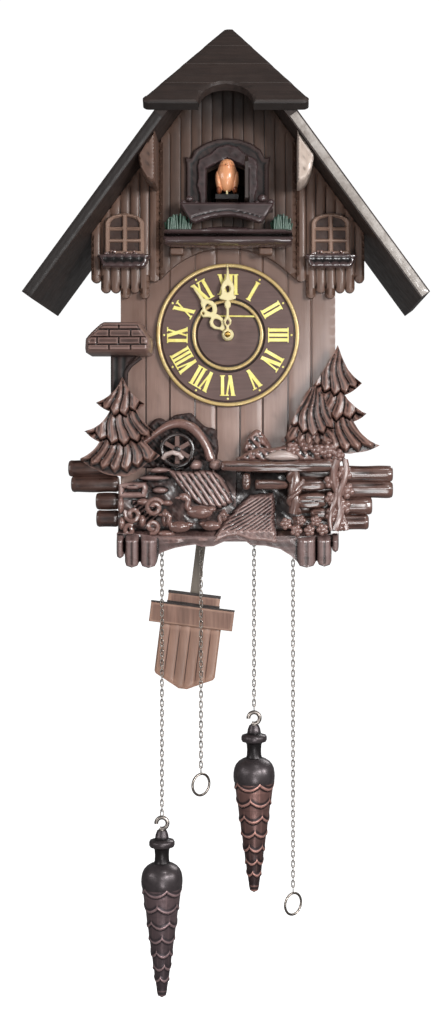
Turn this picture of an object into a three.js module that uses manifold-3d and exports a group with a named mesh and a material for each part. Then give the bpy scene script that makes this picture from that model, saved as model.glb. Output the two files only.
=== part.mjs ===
// Cuckoo clock with a chalet front, two driving weights and a swinging pendulum.
// Millimetres, +Z up, front towards -Y. The wall plane is Y = 0.
// Heights are measured from the dial centre; the finished group is lowered
// so that the origin is the point where the clock hangs on the wall.
import * as THREE from "three";
import Module from "manifold-3d";
import { mergeVertices } from "three/addons/utils/BufferGeometryUtils.js";

const wasm = await Module();
wasm.setup();

// ---------------------------------------------------------------- driving dimensions
const GAP = 0.35; // left between neighbouring pieces
const HANG_Z = 185; // hang point above the dial centre

const CASE_HALF = 96.6;
const CASE_BOTTOM = -176;
const BOARD = 6;
const FRONT_FACE = -110; // front of the main panel
const FRONT_BACK = FRONT_FACE + BOARD;
const SIDE_BACK = -BOARD - GAP;

const PITCH = THREE.MathUtils.degToRad(53.8);
const SLOPE = Math.tan(PITCH);
const RIDGE_Z = 273.7;
const EAVE_X = 176;
const ROOF_BOARD = 9.5;
const ROOF_FRONT = -170;
const WALL_TOP = 234;

const HIP_EAVE = { y: -178, z: 195.5 };
const HIP_APEX = { y: -90, z: 283 };
const HIP_BOARD = 9;
const HIP_HALF = 71.5;

const WALL_HALF = 61; // raised wall over the dial
const WALL_FACE = -118;
const WING_FACE = -119;
const WING_HALF = 122.5;

const SURROUND_FACE = WALL_FACE - 7;
const DOOR_HALF = 18.7;
const DOOR_BOTTOM = 115;
const DOOR_SHOULDER = 147.5;
const DOOR_PEAK = 156.5;
const DOOR_OPEN = THREE.MathUtils.degToRad(92);

const DIAL_RADIUS = 64.5;
const DIAL_FACE = -115;

const MOVEMENT_TOP = 68;
const MOVEMENT_BOTTOM = -55;
const MOVEMENT_HALF = 68;
const PLATE = 1.5;
const FRONT_PLATE_Y = -98;
const BACK_PLATE_Y = -62;

const CHAIN_Y = -75;
const CHAIN_RADIUS = 18; // from the sprocket axis to the middle of the chain
const CHAIN_WIDTH = 4;
const SPROCKET_Z = -20;
const LEFT_TRAIN_X = -44;
const RIGHT_TRAIN_X = 41;
const LEFT_WEIGHT_TOP = -440;
const RIGHT_WEIGHT_TOP = -343;
const LEFT_CHAIN_END = -400;
const RIGHT_CHAIN_END = -510;

const PENDULUM_PIVOT = { y: -35, z: 30 };
const PENDULUM_SWING = THREE.MathUtils.degToRad(7.15);

// ---------------------------------------------------------------- materials
const paint = (color, roughness, metalness = 0) =>
  new THREE.MeshStandardMaterial({ color, roughness, metalness });

const darkWood = paint(0x3c3230, 0.42);
const wallWood = paint(0x50403a, 0.45);
const panelWood = paint(0x735b4b, 0.4);
const carvedWood = paint(0x61504e, 0.35);
const logWood = paint(0x75625d, 0.45);
const dialWood = paint(0x745e56, 0.4);
const plainWood = paint(0x8a6b60, 0.5);
const birdWood = paint(0xc0886d, 0.45);
const cream = paint(0xd6bba3, 0.4);
const castIron = paint(0x4a3c36, 0.4, 0.6);
const steel = paint(0xbbb7b4, 0.3, 0.9);
const brass = paint(0xb5924c, 0.3, 0.9);

// ---------------------------------------------------------------- helpers
const clock = new THREE.Group();
clock.position.z = -HANG_Z;

function add(name, geometry, material, parent = clock) {
  const mesh = new THREE.Mesh(geometry, material);
  mesh.name = name;
  parent.add(mesh);
  return mesh;
}

function signedVolume(geometry) {
  const p = geometry.attributes.position;
  const order = geometry.index.array;
  const [a, b, c] = [new THREE.Vector3(), new THREE.Vector3(), new THREE.Vector3()];
  let sum = 0;
  for (let i = 0; i < order.length; i += 3) {
    a.fromBufferAttribute(p, order[i]);
    b.fromBufferAttribute(p, order[i + 1]);
    c.fromBufferAttribute(p, order[i + 2]);
    sum += a.dot(b.cross(c)) / 6;
  }
  return sum;
}

// One closed skin with shared vertices and its faces pointing out.
function closed(geometry) {
  const bare = geometry.clone();
  bare.deleteAttribute("normal");
  bare.deleteAttribute("uv");
  const merged = mergeVertices(bare, 1e-4);
  if (signedVolume(merged) < 0) merged.index.array.reverse();
  return merged;
}

function toSolid(geometry) {
  const merged = closed(geometry);
  const mesh = new wasm.Mesh({
    numProp: 3,
    vertProperties: new Float32Array(merged.attributes.position.array),
    triVerts: new Uint32Array(merged.index.array),
  });
  return new wasm.Manifold(mesh);
}

function toGeometry(solid) {
  const { vertProperties, triVerts } = solid.getMesh();
  const geometry = new THREE.BufferGeometry();
  geometry.setAttribute("position", new THREE.BufferAttribute(vertProperties, 3));
  geometry.setIndex(new THREE.BufferAttribute(triVerts, 1));
  return geometry;
}

const joined = (...pieces) => toGeometry(pieces.map(toSolid).reduce((a, b) => a.add(b)));

const cut = (piece, ...tools) =>
  toGeometry(tools.map(toSolid).reduce((a, b) => a.subtract(b), toSolid(piece)));

const outline = (points) => new THREE.Shape(points.map(([x, z]) => new THREE.Vector2(x, z)));

// A flat piece drawn as seen from the front, in X and Z, between two depths.
function slab(shape, back, front, segments = 8) {
  const options = { depth: back - front, bevelEnabled: false, curveSegments: segments };
  const geometry = new THREE.ExtrudeGeometry(shape, options);
  return geometry.rotateX(Math.PI / 2).translate(0, back, 0);
}

// A bar whose section is drawn in Y and Z, between two places along X.
function bar(shape, left, right) {
  const options = { depth: right - left, bevelEnabled: false, curveSegments: 8 };
  const turn = new THREE.Matrix4().makeBasis(
    new THREE.Vector3(0, 1, 0),
    new THREE.Vector3(0, 0, 1),
    new THREE.Vector3(1, 0, 0),
  );
  return new THREE.ExtrudeGeometry(shape, options).applyMatrix4(turn).translate(left, 0, 0);
}

function block(x0, x1, y0, y1, z0, z1) {
  const box = new THREE.BoxGeometry(x1 - x0, y1 - y0, z1 - z0);
  return box.translate((x0 + x1) / 2, (y0 + y1) / 2, (z0 + z1) / 2);
}

// A round bar along Y.
function pin(x, z, radius, back, front, sides = 16) {
  const round = new THREE.CylinderGeometry(radius, radius, back - front, sides);
  return round.translate(x, (back + front) / 2, z);
}

const lathe = (points, sides = 24) =>
  closed(new THREE.LatheGeometry(points.map(([r, y]) => new THREE.Vector2(r, y)), sides));

const circleHole = (x, z, radius) => new THREE.Path().absarc(x, z, radius, 0, 2 * Math.PI);

// A bar of round section that follows smooth points.
function wire(points, radius, steps, sides = 6) {
  const path = new THREE.CatmullRomCurve3(points.map((p) => new THREE.Vector3(...p)));
  const section = new THREE.Shape().absarc(0, 0, radius, 0, 2 * Math.PI);
  const options = { steps, extrudePath: path, curveSegments: sides / 2, bevelEnabled: false };
  return new THREE.ExtrudeGeometry(section, options);
}

// ---------------------------------------------------------------- case
const ROOF_DROP = ROOF_BOARD / Math.cos(PITCH);
const roofUnder = (x) => RIDGE_Z - ROOF_DROP - Math.abs(x) * SLOPE - GAP - 0.1;
const halfWidthUnderRoof = (z) => (RIDGE_Z - ROOF_DROP - GAP - 0.1 - z) / SLOPE;

function gable(half, bottom, top) {
  const cap = halfWidthUnderRoof(top);
  return outline([
    [-half, bottom],
    [half, bottom],
    [half, roofUnder(half)],
    [cap, top],
    [-cap, top],
    [-half, roofUnder(half)],
  ]);
}

const doorway = (bottom = DOOR_BOTTOM) =>
  outline([
    [-DOOR_HALF, bottom],
    [DOOR_HALF, bottom],
    [DOOR_HALF, DOOR_SHOULDER],
    [0, DOOR_PEAK],
    [-DOOR_HALF, DOOR_SHOULDER],
  ]);

function makeCase() {
  const front = gable(CASE_HALF, CASE_BOTTOM, WALL_TOP);
  front.holes.push(doorway(), circleHole(0, 0, 7));
  add("front_panel", slab(front, FRONT_BACK, FRONT_FACE), panelWood);

  const back = gable(CASE_HALF, CASE_BOTTOM, 252);
  back.holes.push(outline(backDoorCorners(0)), circleHole(0, HANG_Z - 4, 6));
  add("back_panel", slab(back, 0, -BOARD), plainWood);

  for (const [name, side] of [["left_side_board", -1], ["right_side_board", 1]]) {
    const inner = CASE_HALF - BOARD;
    const section = outline([
      [side * inner, CASE_BOTTOM + BOARD + GAP],
      [side * CASE_HALF, CASE_BOTTOM + BOARD + GAP],
      [side * CASE_HALF, roofUnder(CASE_HALF)],
      [side * inner, roofUnder(inner)],
    ]);
    add(name, slab(section, SIDE_BACK, FRONT_BACK + GAP), panelWood);
  }

  const floorTop = CASE_BOTTOM + BOARD;
  const floor = block(-CASE_HALF, CASE_HALF, FRONT_BACK + GAP, SIDE_BACK, CASE_BOTTOM, floorTop);
  const slot = (x, half, y, depth) =>
    block(x - half, x + half, y - depth, y + depth, CASE_BOTTOM - 1, floorTop + 1);
  const slots = [
    slot(0, 42, PENDULUM_PIVOT.y, 8),
    slot(LEFT_TRAIN_X, 24, CHAIN_Y, 6),
    slot(RIGHT_TRAIN_X, 24, CHAIN_Y, 6),
  ];
  add("bottom_board", cut(floor, ...slots), panelWood);
}

const BACK_DOOR = { half: 40, bottom: -50, top: 34 };

function backDoorCorners(inset) {
  const { half, bottom, top } = BACK_DOOR;
  return [
    [-half + inset, bottom + inset],
    [half - inset, bottom + inset],
    [half - inset, top - inset],
    [-half + inset, top - inset],
  ];
}

function makeBackDoor() {
  add("back_door", slab(outline(backDoorCorners(1)), 0, -BOARD + 1), plainWood);
}

// ---------------------------------------------------------------- roof
const hipRun = new THREE.Vector2(HIP_APEX.y - HIP_EAVE.y, HIP_APEX.z - HIP_EAVE.z);
const hipLength = hipRun.length();
const hipUp = hipRun.clone().normalize();
const hipOut = new THREE.Vector2(-hipUp.y, hipUp.x);

function hipFrame(lift) {
  const turn = new THREE.Matrix4().makeBasis(
    new THREE.Vector3(1, 0, 0),
    new THREE.Vector3(0, hipUp.x, hipUp.y),
    new THREE.Vector3(0, hipOut.x, hipOut.y),
  );
  return turn.setPosition(0, HIP_EAVE.y + hipOut.x * lift, HIP_EAVE.z + hipOut.y * lift);
}

function makeRoof() {
  const ridgeGap = GAP / 2;
  const endX = EAVE_X - ROOF_BOARD * Math.sin(PITCH);
  const endZ = RIDGE_Z - EAVE_X * SLOPE - ROOF_BOARD * Math.cos(PITCH);
  const clear = new THREE.BoxGeometry(400, 300, 120);
  clear.translate(0, 100, 60).applyMatrix4(hipFrame(-HIP_BOARD - GAP));
  for (const [name, side] of [["left_roof_board", -1], ["right_roof_board", 1]]) {
    const section = outline([
      [side * ridgeGap, RIDGE_Z - ROOF_DROP],
      [side * endX, endZ],
      [side * EAVE_X, RIDGE_Z - EAVE_X * SLOPE],
      [side * ridgeGap, RIDGE_Z],
    ]);
    add(name, cut(slab(section, 0, ROOF_FRONT), clear), darkWood);
  }

  const corner = 6;
  const notchHalf = 24;
  const notchTop = 31.5;
  const hip = new THREE.Shape();
  hip.moveTo(notchHalf, 0);
  hip.lineTo(HIP_HALF - corner, 0);
  hip.absarc(HIP_HALF - corner, corner, corner, -Math.PI / 2, Math.PI / 5, false);
  hip.lineTo(4, hipLength);
  hip.lineTo(-4, hipLength);
  hip.absarc(-HIP_HALF + corner, corner, corner, Math.PI * 0.8, Math.PI * 1.5, false);
  hip.lineTo(-notchHalf, 0);
  hip.bezierCurveTo(-notchHalf + 1, notchTop * 0.6, -12, notchTop, 0, notchTop);
  hip.bezierCurveTo(12, notchTop, notchHalf - 1, notchTop * 0.6, notchHalf, 0);
  const options = { depth: HIP_BOARD, bevelEnabled: false, curveSegments: 6 };
  const board = new THREE.ExtrudeGeometry(hip, options).applyMatrix4(hipFrame(-HIP_BOARD));
  add("front_hip_roof", board, darkWood);

  for (const [name, side] of [["left_knee_brace", -1], ["right_knee_brace", 1]]) {
    const [inner, outer] = [WALL_HALF + 0.8, 76];
    const brace = new THREE.Shape();
    brace.moveTo(side * inner, roofUnder(inner));
    brace.lineTo(side * outer, roofUnder(outer));
    brace.lineTo(side * outer, 143);
    brace.quadraticCurveTo(side * (outer - 3), 136, side * (inner + 2), 127);
    brace.lineTo(side * inner, 127);
    add(name, slab(brace, WING_FACE - GAP, ROOF_FRONT + 4), carvedWood);
  }
}

// ---------------------------------------------------------------- chalet front
function makeUpperWall() {
  const archRadius = 78;
  const lip = 50;
  const wall = new THREE.Shape();
  const reach = Math.acos(lip / archRadius);
  wall.moveTo(WALL_HALF, lip);
  wall.lineTo(WALL_HALF, roofUnder(WALL_HALF));
  wall.lineTo(halfWidthUnderRoof(WALL_TOP), WALL_TOP);
  wall.lineTo(-halfWidthUnderRoof(WALL_TOP), WALL_TOP);
  wall.lineTo(-WALL_HALF, roofUnder(WALL_HALF));
  wall.lineTo(-WALL_HALF, lip);
  wall.absarc(0, 0, archRadius, Math.PI / 2 + reach, Math.PI / 2 - reach, true);
  wall.holes.push(doorway());
  add("upper_wall", slab(wall, FRONT_FACE - GAP, WALL_FACE, 14), wallWood);
}

function makeWings() {
  const bottoms = [52, 37, 42, 37, 42, 42, 51];
  const inner = WALL_HALF + GAP;
  const plank = (WING_HALF - inner) / bottoms.length;
  const wing = new THREE.Shape();
  wing.moveTo(inner, roofUnder(inner));
  bottoms.forEach((z, i) => {
    const middle = inner + (i + 0.5) * plank;
    wing.lineTo(middle - plank / 2, z);
    wing.absarc(middle, z, plank / 2, Math.PI, 2 * Math.PI, false);
  });
  wing.lineTo(WING_HALF, roofUnder(WING_HALF));
  const right = slab(wing, FRONT_FACE - GAP, WING_FACE, 5);
  add("right_wing", right, wallWood);
  add("left_wing", closed(right.clone().scale(-1, 1, 1)), wallWood);
}

function makeWindows() {
  const window = { x: 92, half: 17.5, bottom: 71, shoulder: 100, top: 108 };
  const shape = new THREE.Shape();
  shape.moveTo(-window.half, window.bottom);
  shape.lineTo(window.half, window.bottom);
  shape.lineTo(window.half, window.shoulder);
  shape.quadraticCurveTo(window.half * 0.7, window.top, 0, window.top);
  shape.quadraticCurveTo(-window.half * 0.7, window.top, -window.half, window.shoulder);
  const face = WING_FACE - 5;
  const panes = [];
  for (const side of [-1, 1]) {
    for (const row of [0, 1, 2]) {
      const low = window.bottom + 3.5 + row * 10.5;
      const wide = row === 2 ? 9 : 13;
      const middle = side * (1.5 + wide / 2);
      panes.push(block(middle - wide / 2, middle + wide / 2, face - 1, WING_FACE, low, low + 8));
    }
  }
  const pierced = cut(slab(shape, WING_FACE - GAP, face), ...panes);
  const section = outline([[-14, 74], [-13, 60], [0, 60], [0, 74]]);
  for (const [side, x] of [["left", -window.x], ["right", window.x]]) {
    const frame = pierced.clone().translate(x, 0, 0);
    const box = bar(section, x - 21, x + 21).translate(0, WING_FACE - GAP, -1);
    add(`${side}_window`, joined(frame, box), carvedWood);
  }
}

function makeDoorSurround() {
  const arch = new THREE.Shape();
  const half = 37;
  arch.moveTo(-half, DOOR_BOTTOM);
  arch.lineTo(half, DOOR_BOTTOM);
  arch.lineTo(half, 160);
  arch.bezierCurveTo(half - 6, 170, 16, 175.5, 0, 175.5);
  arch.bezierCurveTo(-16, 175.5, -half + 6, 170, -half, 160);
  const frame = outline([[-27, DOOR_BOTTOM], [27, DOOR_BOTTOM], [27, 156], [0, 169], [-27, 156]]);
  const backing = slab(arch, WALL_FACE - GAP, WALL_FACE - 3.5);
  const framed = joined(backing, slab(frame, WALL_FACE - 2, SURROUND_FACE));
  const passage = slab(doorway(DOOR_BOTTOM - 5), WALL_FACE + 5, WALL_FACE - 12);
  add("door_surround", cut(framed, passage), wallWood);

  const apron = new THREE.Shape();
  apron.moveTo(-41.5, 114);
  apron.lineTo(-30, 96);
  apron.quadraticCurveTo(0, 108, 30, 96);
  apron.lineTo(41.5, 114);
  const floor = block(-41, 41, -142, WALL_FACE - GAP, 109, 114);
  add("balcony", joined(floor, slab(apron, -139, -146)), carvedWood);

  const trough = outline([[-143, 91], [-138, 77], [WALL_FACE - GAP, 77], [WALL_FACE - GAP, 91]]);
  const bulge = outline([[-146, 94], [-140, 80], [-136, 80], [-136, 94]]);
  add("planter", joined(bar(trough, -55, 57), bar(bulge, -23, 23)), carvedWood);
}

function makeBirdDoor() {
  const slack = 0.6;
  const width = 2 * (DOOR_HALF - slack);
  const leaf = outline([
    [-width, DOOR_BOTTOM + slack],
    [0, DOOR_BOTTOM + slack],
    [0, DOOR_SHOULDER - slack],
    [-width / 2, DOOR_PEAK - 2 * slack],
    [-width, DOOR_SHOULDER - slack],
  ]);
  const door = add("bird_door", slab(leaf, 3, 0), wallWood);
  door.position.set(DOOR_HALF - slack, SURROUND_FACE, 0);
  door.rotation.z = DOOR_OPEN;
}

function makeBird() {
  const body = new THREE.SphereGeometry(8.5, 16, 10).scale(1, 1.25, 1).translate(0, -135, 136);
  const head = new THREE.SphereGeometry(6.3, 14, 9).translate(0, -139, 147);
  const beak = new THREE.ConeGeometry(2, 7, 8).rotateX(Math.PI).rotateX(Math.PI / 2);
  beak.translate(0, -145.5, 147);
  const tail = block(-4, 4, -132, -121, 131, 134);
  const leg = new THREE.CylinderGeometry(1.3, 1.3, 8, 8).rotateX(Math.PI / 2);
  leg.translate(0, -134, 126);
  add("bird", joined(body, head, beak, tail, leg), birdWood);

  const perch = block(-10, 10, -143, -122, 117.5, 122 - GAP);
  const rod = block(-2.5, 2.5, -125, -62, 118, 121);
  add("bird_arm", joined(perch, rod), plainWood);
}

// ---------------------------------------------------------------- dial and hands
function makeDial() {
  const back = FRONT_FACE - GAP;
  const raised = DIAL_FACE - 1.5;
  const profile = [
    [6, back],
    [DIAL_RADIUS, back],
    [DIAL_RADIUS, DIAL_FACE],
    [64, raised],
    [60.5, raised],
    [60.2, DIAL_FACE],
    [32.3, DIAL_FACE],
    [32, raised],
    [28.5, raised],
    [28.2, DIAL_FACE],
    [6, DIAL_FACE],
    [6, back],
  ];
  add("dial", lathe(profile, 48), dialWood);
}

function makeHands() {
  const clockwise = THREE.MathUtils.degToRad;
  const hour = new THREE.Shape();
  hour.moveTo(-2, 14);
  hour.bezierCurveTo(-4, 18, -7, 22, -6, 28);
  hour.bezierCurveTo(-5, 34, -1.5, 38, -1.2, 42);
  hour.lineTo(0, 54);
  hour.lineTo(1.2, 42);
  hour.bezierCurveTo(1.5, 38, 5, 34, 6, 28);
  hour.bezierCurveTo(7, 22, 4, 18, 2, 14);
  hour.absarc(0, 0, 7, Math.PI * 0.4, Math.PI * 2.6, true);
  hour.holes.push(circleHole(0, 27, 2.6), circleHole(0, 0, 2.6));
  const hourBlade = slab(hour, DIAL_FACE - 4, DIAL_FACE - 5.2);
  const pipe = lathe([[2.6, -99], [4, -99], [4, DIAL_FACE - 5], [2.6, DIAL_FACE - 5], [2.6, -99]], 16);
  const hourHand = add("hour_hand", joined(hourBlade, pipe), cream);
  hourHand.rotation.y = -clockwise(36);

  const minute = new THREE.Shape();
  minute.moveTo(-1.6, 26);
  minute.bezierCurveTo(-3.5, 27, -3.5, 30, -5, 32);
  minute.bezierCurveTo(-8, 37, -6, 42, -1.4, 48);
  minute.lineTo(0, 63);
  minute.lineTo(1.4, 48);
  minute.bezierCurveTo(6, 42, 8, 37, 5, 32);
  minute.bezierCurveTo(3.5, 30, 3.5, 27, 1.6, 26);
  minute.absarc(0, 0, 6, Math.PI * 0.4, Math.PI * 2.6, true);
  minute.holes.push(circleHole(0, 39, 2.8));
  const minuteBlade = slab(minute, DIAL_FACE - 7, DIAL_FACE - 8.2);
  const nut = pin(0, 0, 3, DIAL_FACE - 8, DIAL_FACE - 11, 6);
  add("minute_hand", joined(minuteBlade, nut), cream);
}

// ---------------------------------------------------------------- movement
function gear(radius, teeth, depth) {
  const points = [];
  for (let i = 0; i < teeth; i += 1) {
    for (const [part, r] of [[0, radius - depth], [0.3, radius], [0.6, radius], [0.85, radius - depth]]) {
      const angle = ((i + part) / teeth) * 2 * Math.PI;
      points.push([r * Math.cos(angle), r * Math.sin(angle)]);
    }
  }
  return outline(points);
}

const EACH_PILLAR = [[LEFT_TRAIN_X, 62], [RIGHT_TRAIN_X, 62], [0, -48]];
const ESCAPE_Z = 52;
const HAMMER = { x: 64, z: -42 };

function makeMovement() {
  const half = MOVEMENT_HALF;
  const sheet = () =>
    outline([[-half, MOVEMENT_BOTTOM], [half, MOVEMENT_BOTTOM], [half, MOVEMENT_TOP], [-half, MOVEMENT_TOP]]);
  const arborHoles = [
    circleHole(LEFT_TRAIN_X, SPROCKET_Z, 2.4),
    circleHole(RIGHT_TRAIN_X, SPROCKET_Z, 2.4),
    circleHole(0, ESCAPE_Z, 2.4),
    circleHole(0, PENDULUM_PIVOT.z, 2.4),
  ];
  const front = sheet();
  front.holes.push(...arborHoles, circleHole(0, 0, 5));
  add("front_plate", slab(front, FRONT_PLATE_Y + PLATE, FRONT_PLATE_Y), brass);

  const back = sheet();
  back.holes.push(...arborHoles, circleHole(0, 0, 2.4), circleHole(HAMMER.x, HAMMER.z, 2.2));
  const pieces = [slab(back, BACK_PLATE_Y + PLATE, BACK_PLATE_Y)];
  for (const [x, z] of EACH_PILLAR) {
    pieces.push(pin(x, z, 3, BACK_PLATE_Y + 0.5, FRONT_PLATE_Y + PLATE + GAP, 12));
  }
  const top = PENDULUM_PIVOT.z + 7;
  for (const x of [-9, 7]) {
    pieces.push(block(x, x + 2, -43, BACK_PLATE_Y + 1, top, top + 2));
  }
  pieces.push(block(-9, 9, -43, -41, top, top + 2));
  pieces.push(block(-2, 2, -43, -41, PENDULUM_PIVOT.z - 2, top + 1));
  pieces.push(pin(0, PENDULUM_PIVOT.z, 2, -31, -42, 12));
  add("back_plate", joined(...pieces), brass);
}

function makeWheels() {
  for (const [name, x] of [["left_sprocket", LEFT_TRAIN_X], ["right_sprocket", RIGHT_TRAIN_X]]) {
    const wheel = slab(gear(24, 40, 2), -85, -86.5);
    const pockets = slab(gear(15.4, 10, 2), CHAIN_Y + 3.5, CHAIN_Y - 3.5);
    const drum = pin(0, 0, 9, CHAIN_Y + 4, -86, 20);
    const arbor = pin(0, 0, 1.8, BACK_PLATE_Y + PLATE, FRONT_PLATE_Y, 12);
    add(name, joined(wheel, pockets, drum, arbor), brass).position.set(x, 0, SPROCKET_Z);
  }
  const centre = slab(gear(23, 48, 1.8), -91, -92.2);
  const shaft = pin(0, 0, 1.8, BACK_PLATE_Y + PLATE, DIAL_FACE - 6.8, 12);
  add("centre_wheel", joined(centre, shaft), brass);

  const escape = slab(gear(11, 30, 2.2), -66, -67);
  const escapeArbor = pin(0, 0, 1.8, BACK_PLATE_Y + PLATE, FRONT_PLATE_Y, 12);
  add("escape_wheel", joined(escape, escapeArbor), brass).position.set(0, 0, ESCAPE_Z);
}

// The anchor straddles the escape wheel from below; its crutch reaches down
// behind the back plate and carries the pendulum rod between two pins.
function makeAnchor() {
  const reach = 17;
  const arms = new THREE.Shape();
  arms.moveTo(0, -4);
  arms.quadraticCurveTo(reach, -2, reach, 20);
  arms.lineTo(reach - 2.5, 20);
  arms.quadraticCurveTo(reach - 4, 4, 0, 3.5);
  arms.quadraticCurveTo(-reach + 4, 4, -reach + 2.5, 20);
  arms.lineTo(-reach, 20);
  arms.quadraticCurveTo(-reach, -2, 0, -4);
  const forkZ = -40;
  const anchor = joined(
    slab(arms, -66, -67.5, 5),
    pin(0, 0, 1.8, -50, FRONT_PLATE_Y, 12),
    block(-1.5, 1.5, -52, -50.2, forkZ - 1, 1),
    block(-7, 7, -52, -50.2, forkZ - 1.5, forkZ + 1.5),
    pin(-6, forkZ, 1, -32, -51, 8),
    pin(6, forkZ, 1, -32, -51, 8),
  );
  const mesh = add("anchor", anchor, steel);
  mesh.position.z = PENDULUM_PIVOT.z;
  mesh.rotation.y = PENDULUM_SWING;
}

function makePendulum() {
  const hang = new THREE.Group();
  hang.position.set(0, PENDULUM_PIVOT.y, PENDULUM_PIVOT.z);
  hang.rotation.y = PENDULUM_SWING;
  clock.add(hang);

  const rodEnd = -308;
  const rod = outline([[-4.5, 6], [-4.5, rodEnd], [4.5, rodEnd], [4.5, 6]]);
  rod.holes.push(circleHole(0, 0, 2.6));
  add("pendulum_rod", slab(rod, 1, -1), plainWood, hang);

  const half = 28.8;
  const body = outline([[-half, -300], [-half, -348], [-4, -361], [4, -361], [half, -348], [half, -300]]);
  const bob = joined(
    slab(body, -1 - GAP, -6),
    block(-25, 25, -6, -1 - GAP, -283, -270),
    block(-20, 20, -6, -1 - GAP, -300, -280),
    block(-39.5, 39.5, -10, -5, -300.5, -281.5),
  );
  add("pendulum_bob", bob, plainWood, hang);
}

// ---------------------------------------------------------------- gong, hammer and bellows
function makeGong() {
  const centre = { x: 30, y: -14, z: -112 };
  const turns = 2.6;
  const points = [];
  for (let i = 0; i <= 30; i += 1) {
    const share = i / 30;
    const angle = turns * 2 * Math.PI * share;
    const radius = 9 + 21 * share;
    points.push([centre.x + radius * Math.cos(angle), centre.y, centre.z + radius * Math.sin(angle)]);
  }
  const [endX, , endZ] = points.at(-1);
  const post = block(endX - 5, endX + 5, -17, -BOARD - GAP, endZ - 5, endZ + 5);
  add("gong", joined(wire(points, 1, 90), post), steel);

  const head = { x: -6.5, z: -44 };
  const hammer = joined(
    pin(0, 0, 1.6, -12, BACK_PLATE_Y - 1.5, 10),
    bar(outline([[-15, 1], [-15, head.z], [-13, head.z], [-13, 1]]), head.x / 2 - 1.5, head.x / 2 + 1.5),
    block(head.x / 2 - 1.5, 1.5, -15, -13, -2, 2),
    pin(head.x, head.z, 3.6, -10.5, -17.5, 12),
  );
  add("gong_hammer", hammer, steel).position.set(HAMMER.x, 0, HAMMER.z);
}

const WHISTLE = { inner: 71, outer: 89.8, back: -46, front: -92, bottom: -40, top: 58 };
const BELLOWS_LIFT = THREE.MathUtils.degToRad(14);

function makeWhistles() {
  const { inner, outer, back, front, bottom, top } = WHISTLE;
  for (const [name, side] of [["left", -1], ["right", 1]]) {
    const x0 = Math.min(side * inner, side * outer);
    const x1 = Math.max(side * inner, side * outer);
    const mouth = block(x0 - 1, x1 + 1, front - 1, front + 4, top - 34, top - 28);
    add(`${name}_whistle`, cut(block(x0, x1, front, back, bottom, top), mouth), plainWood);
    const lid = add(`${name}_bellows_lid`, block(x0, x1, front - back, 0, 0, 2.5), plainWood);
    lid.position.set(0, back, top + 1);
    lid.rotation.x = -BELLOWS_LIFT;
  }
}

// ---------------------------------------------------------------- chains, weights and rings
function makeWeight(name, x, top) {
  const profile = [
    [0, -21.5],
    [11.8, -21.5],
    [11.8, -28],
    [7.2, -29.5],
    [6.8, -43],
    [13, -46],
    [17.8, -51],
    [19.2, -58],
    [16.5, -80],
    [12.5, -112],
    [8.5, -143],
    [6.2, -161],
    [3.6, -166],
    [0, -167.5],
  ];
  const cone = lathe(profile, 20).rotateX(Math.PI / 2);
  const neck = new THREE.CylinderGeometry(4, 6.8, 9, 14).rotateX(Math.PI / 2).translate(0, 0, -17);
  const hook = new THREE.TorusGeometry(5.2, 1.4, 8, 16).rotateX(Math.PI / 2).translate(0, 0, -7.4);
  add(name, joined(cone, neck, hook), castIron).position.set(x, CHAIN_Y, top);
}

function makeChain(name, x, bottom) {
  const points = [];
  const steps = 12;
  for (let i = 0; i <= steps; i += 1) {
    points.push([x, CHAIN_Y, SPROCKET_Z + (bottom - SPROCKET_Z) * (i / steps)]);
  }
  add(name, wire(points, CHAIN_WIDTH / 2, steps, 8), steel);
}

function makeRing(name, x, top) {
  const radius = 9.8;
  const wireRadius = 1.2;
  const ring = new THREE.TorusGeometry(radius, wireRadius, 8, 28).rotateX(Math.PI / 2);
  ring.rotateZ(THREE.MathUtils.degToRad(41));
  add(name, ring, steel).position.set(x, CHAIN_Y, top - radius - wireRadius - GAP);
}

function makeTrains() {
  const left = { weight: LEFT_TRAIN_X - CHAIN_RADIUS, ring: LEFT_TRAIN_X + CHAIN_RADIUS };
  const right = { weight: RIGHT_TRAIN_X - CHAIN_RADIUS, ring: RIGHT_TRAIN_X + CHAIN_RADIUS };
  makeWeight("left_weight", left.weight, LEFT_WEIGHT_TOP);
  makeWeight("right_weight", right.weight, RIGHT_WEIGHT_TOP);
  makeChain("left_weight_chain", left.weight, LEFT_WEIGHT_TOP + GAP);
  makeChain("right_weight_chain", right.weight, RIGHT_WEIGHT_TOP + GAP);
  makeChain("left_ring_chain", left.ring, LEFT_CHAIN_END);
  makeChain("right_ring_chain", right.ring, RIGHT_CHAIN_END);
  makeRing("left_pull_ring", left.ring, LEFT_CHAIN_END);
  makeRing("right_pull_ring", right.ring, RIGHT_CHAIN_END);
}

// ---------------------------------------------------------------- carved scenery
const BRANCH_SAG = 2;

function pineShape(points) {
  const tree = new THREE.Shape();
  tree.moveTo(...points[0]);
  for (let i = 1; i < points.length; i += 1) {
    const [x, z] = points[i];
    const [px, pz] = points[i - 1];
    tree.quadraticCurveTo((x + px) / 2, (z + pz) / 2 - BRANCH_SAG, x, z);
  }
  return tree;
}

const LEFT_PINE = [
  [-93, -38.5],
  [-116, -61.5],
  [-104, -69],
  [-126.5, -86.5],
  [-113, -96],
  [-131, -111],
  [-116, -121],
  [-98, -126],
  [-88, -126],
  [-72, -115],
  [-60, -108],
  [-75, -93],
  [-63, -88],
  [-80, -67.5],
  [-73.5, -62],
];

const RIGHT_PINE = [
  [98, -10],
  [86, -31],
  [76, -46],
  [66, -61],
  [57, -77],
  [48, -94],
  [74, -102],
  [104, -106],
  [114, -105.5],
  [135.5, -99],
  [112, -78],
  [123.5, -71],
  [104, -54.5],
  [119.5, -44],
];

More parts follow.
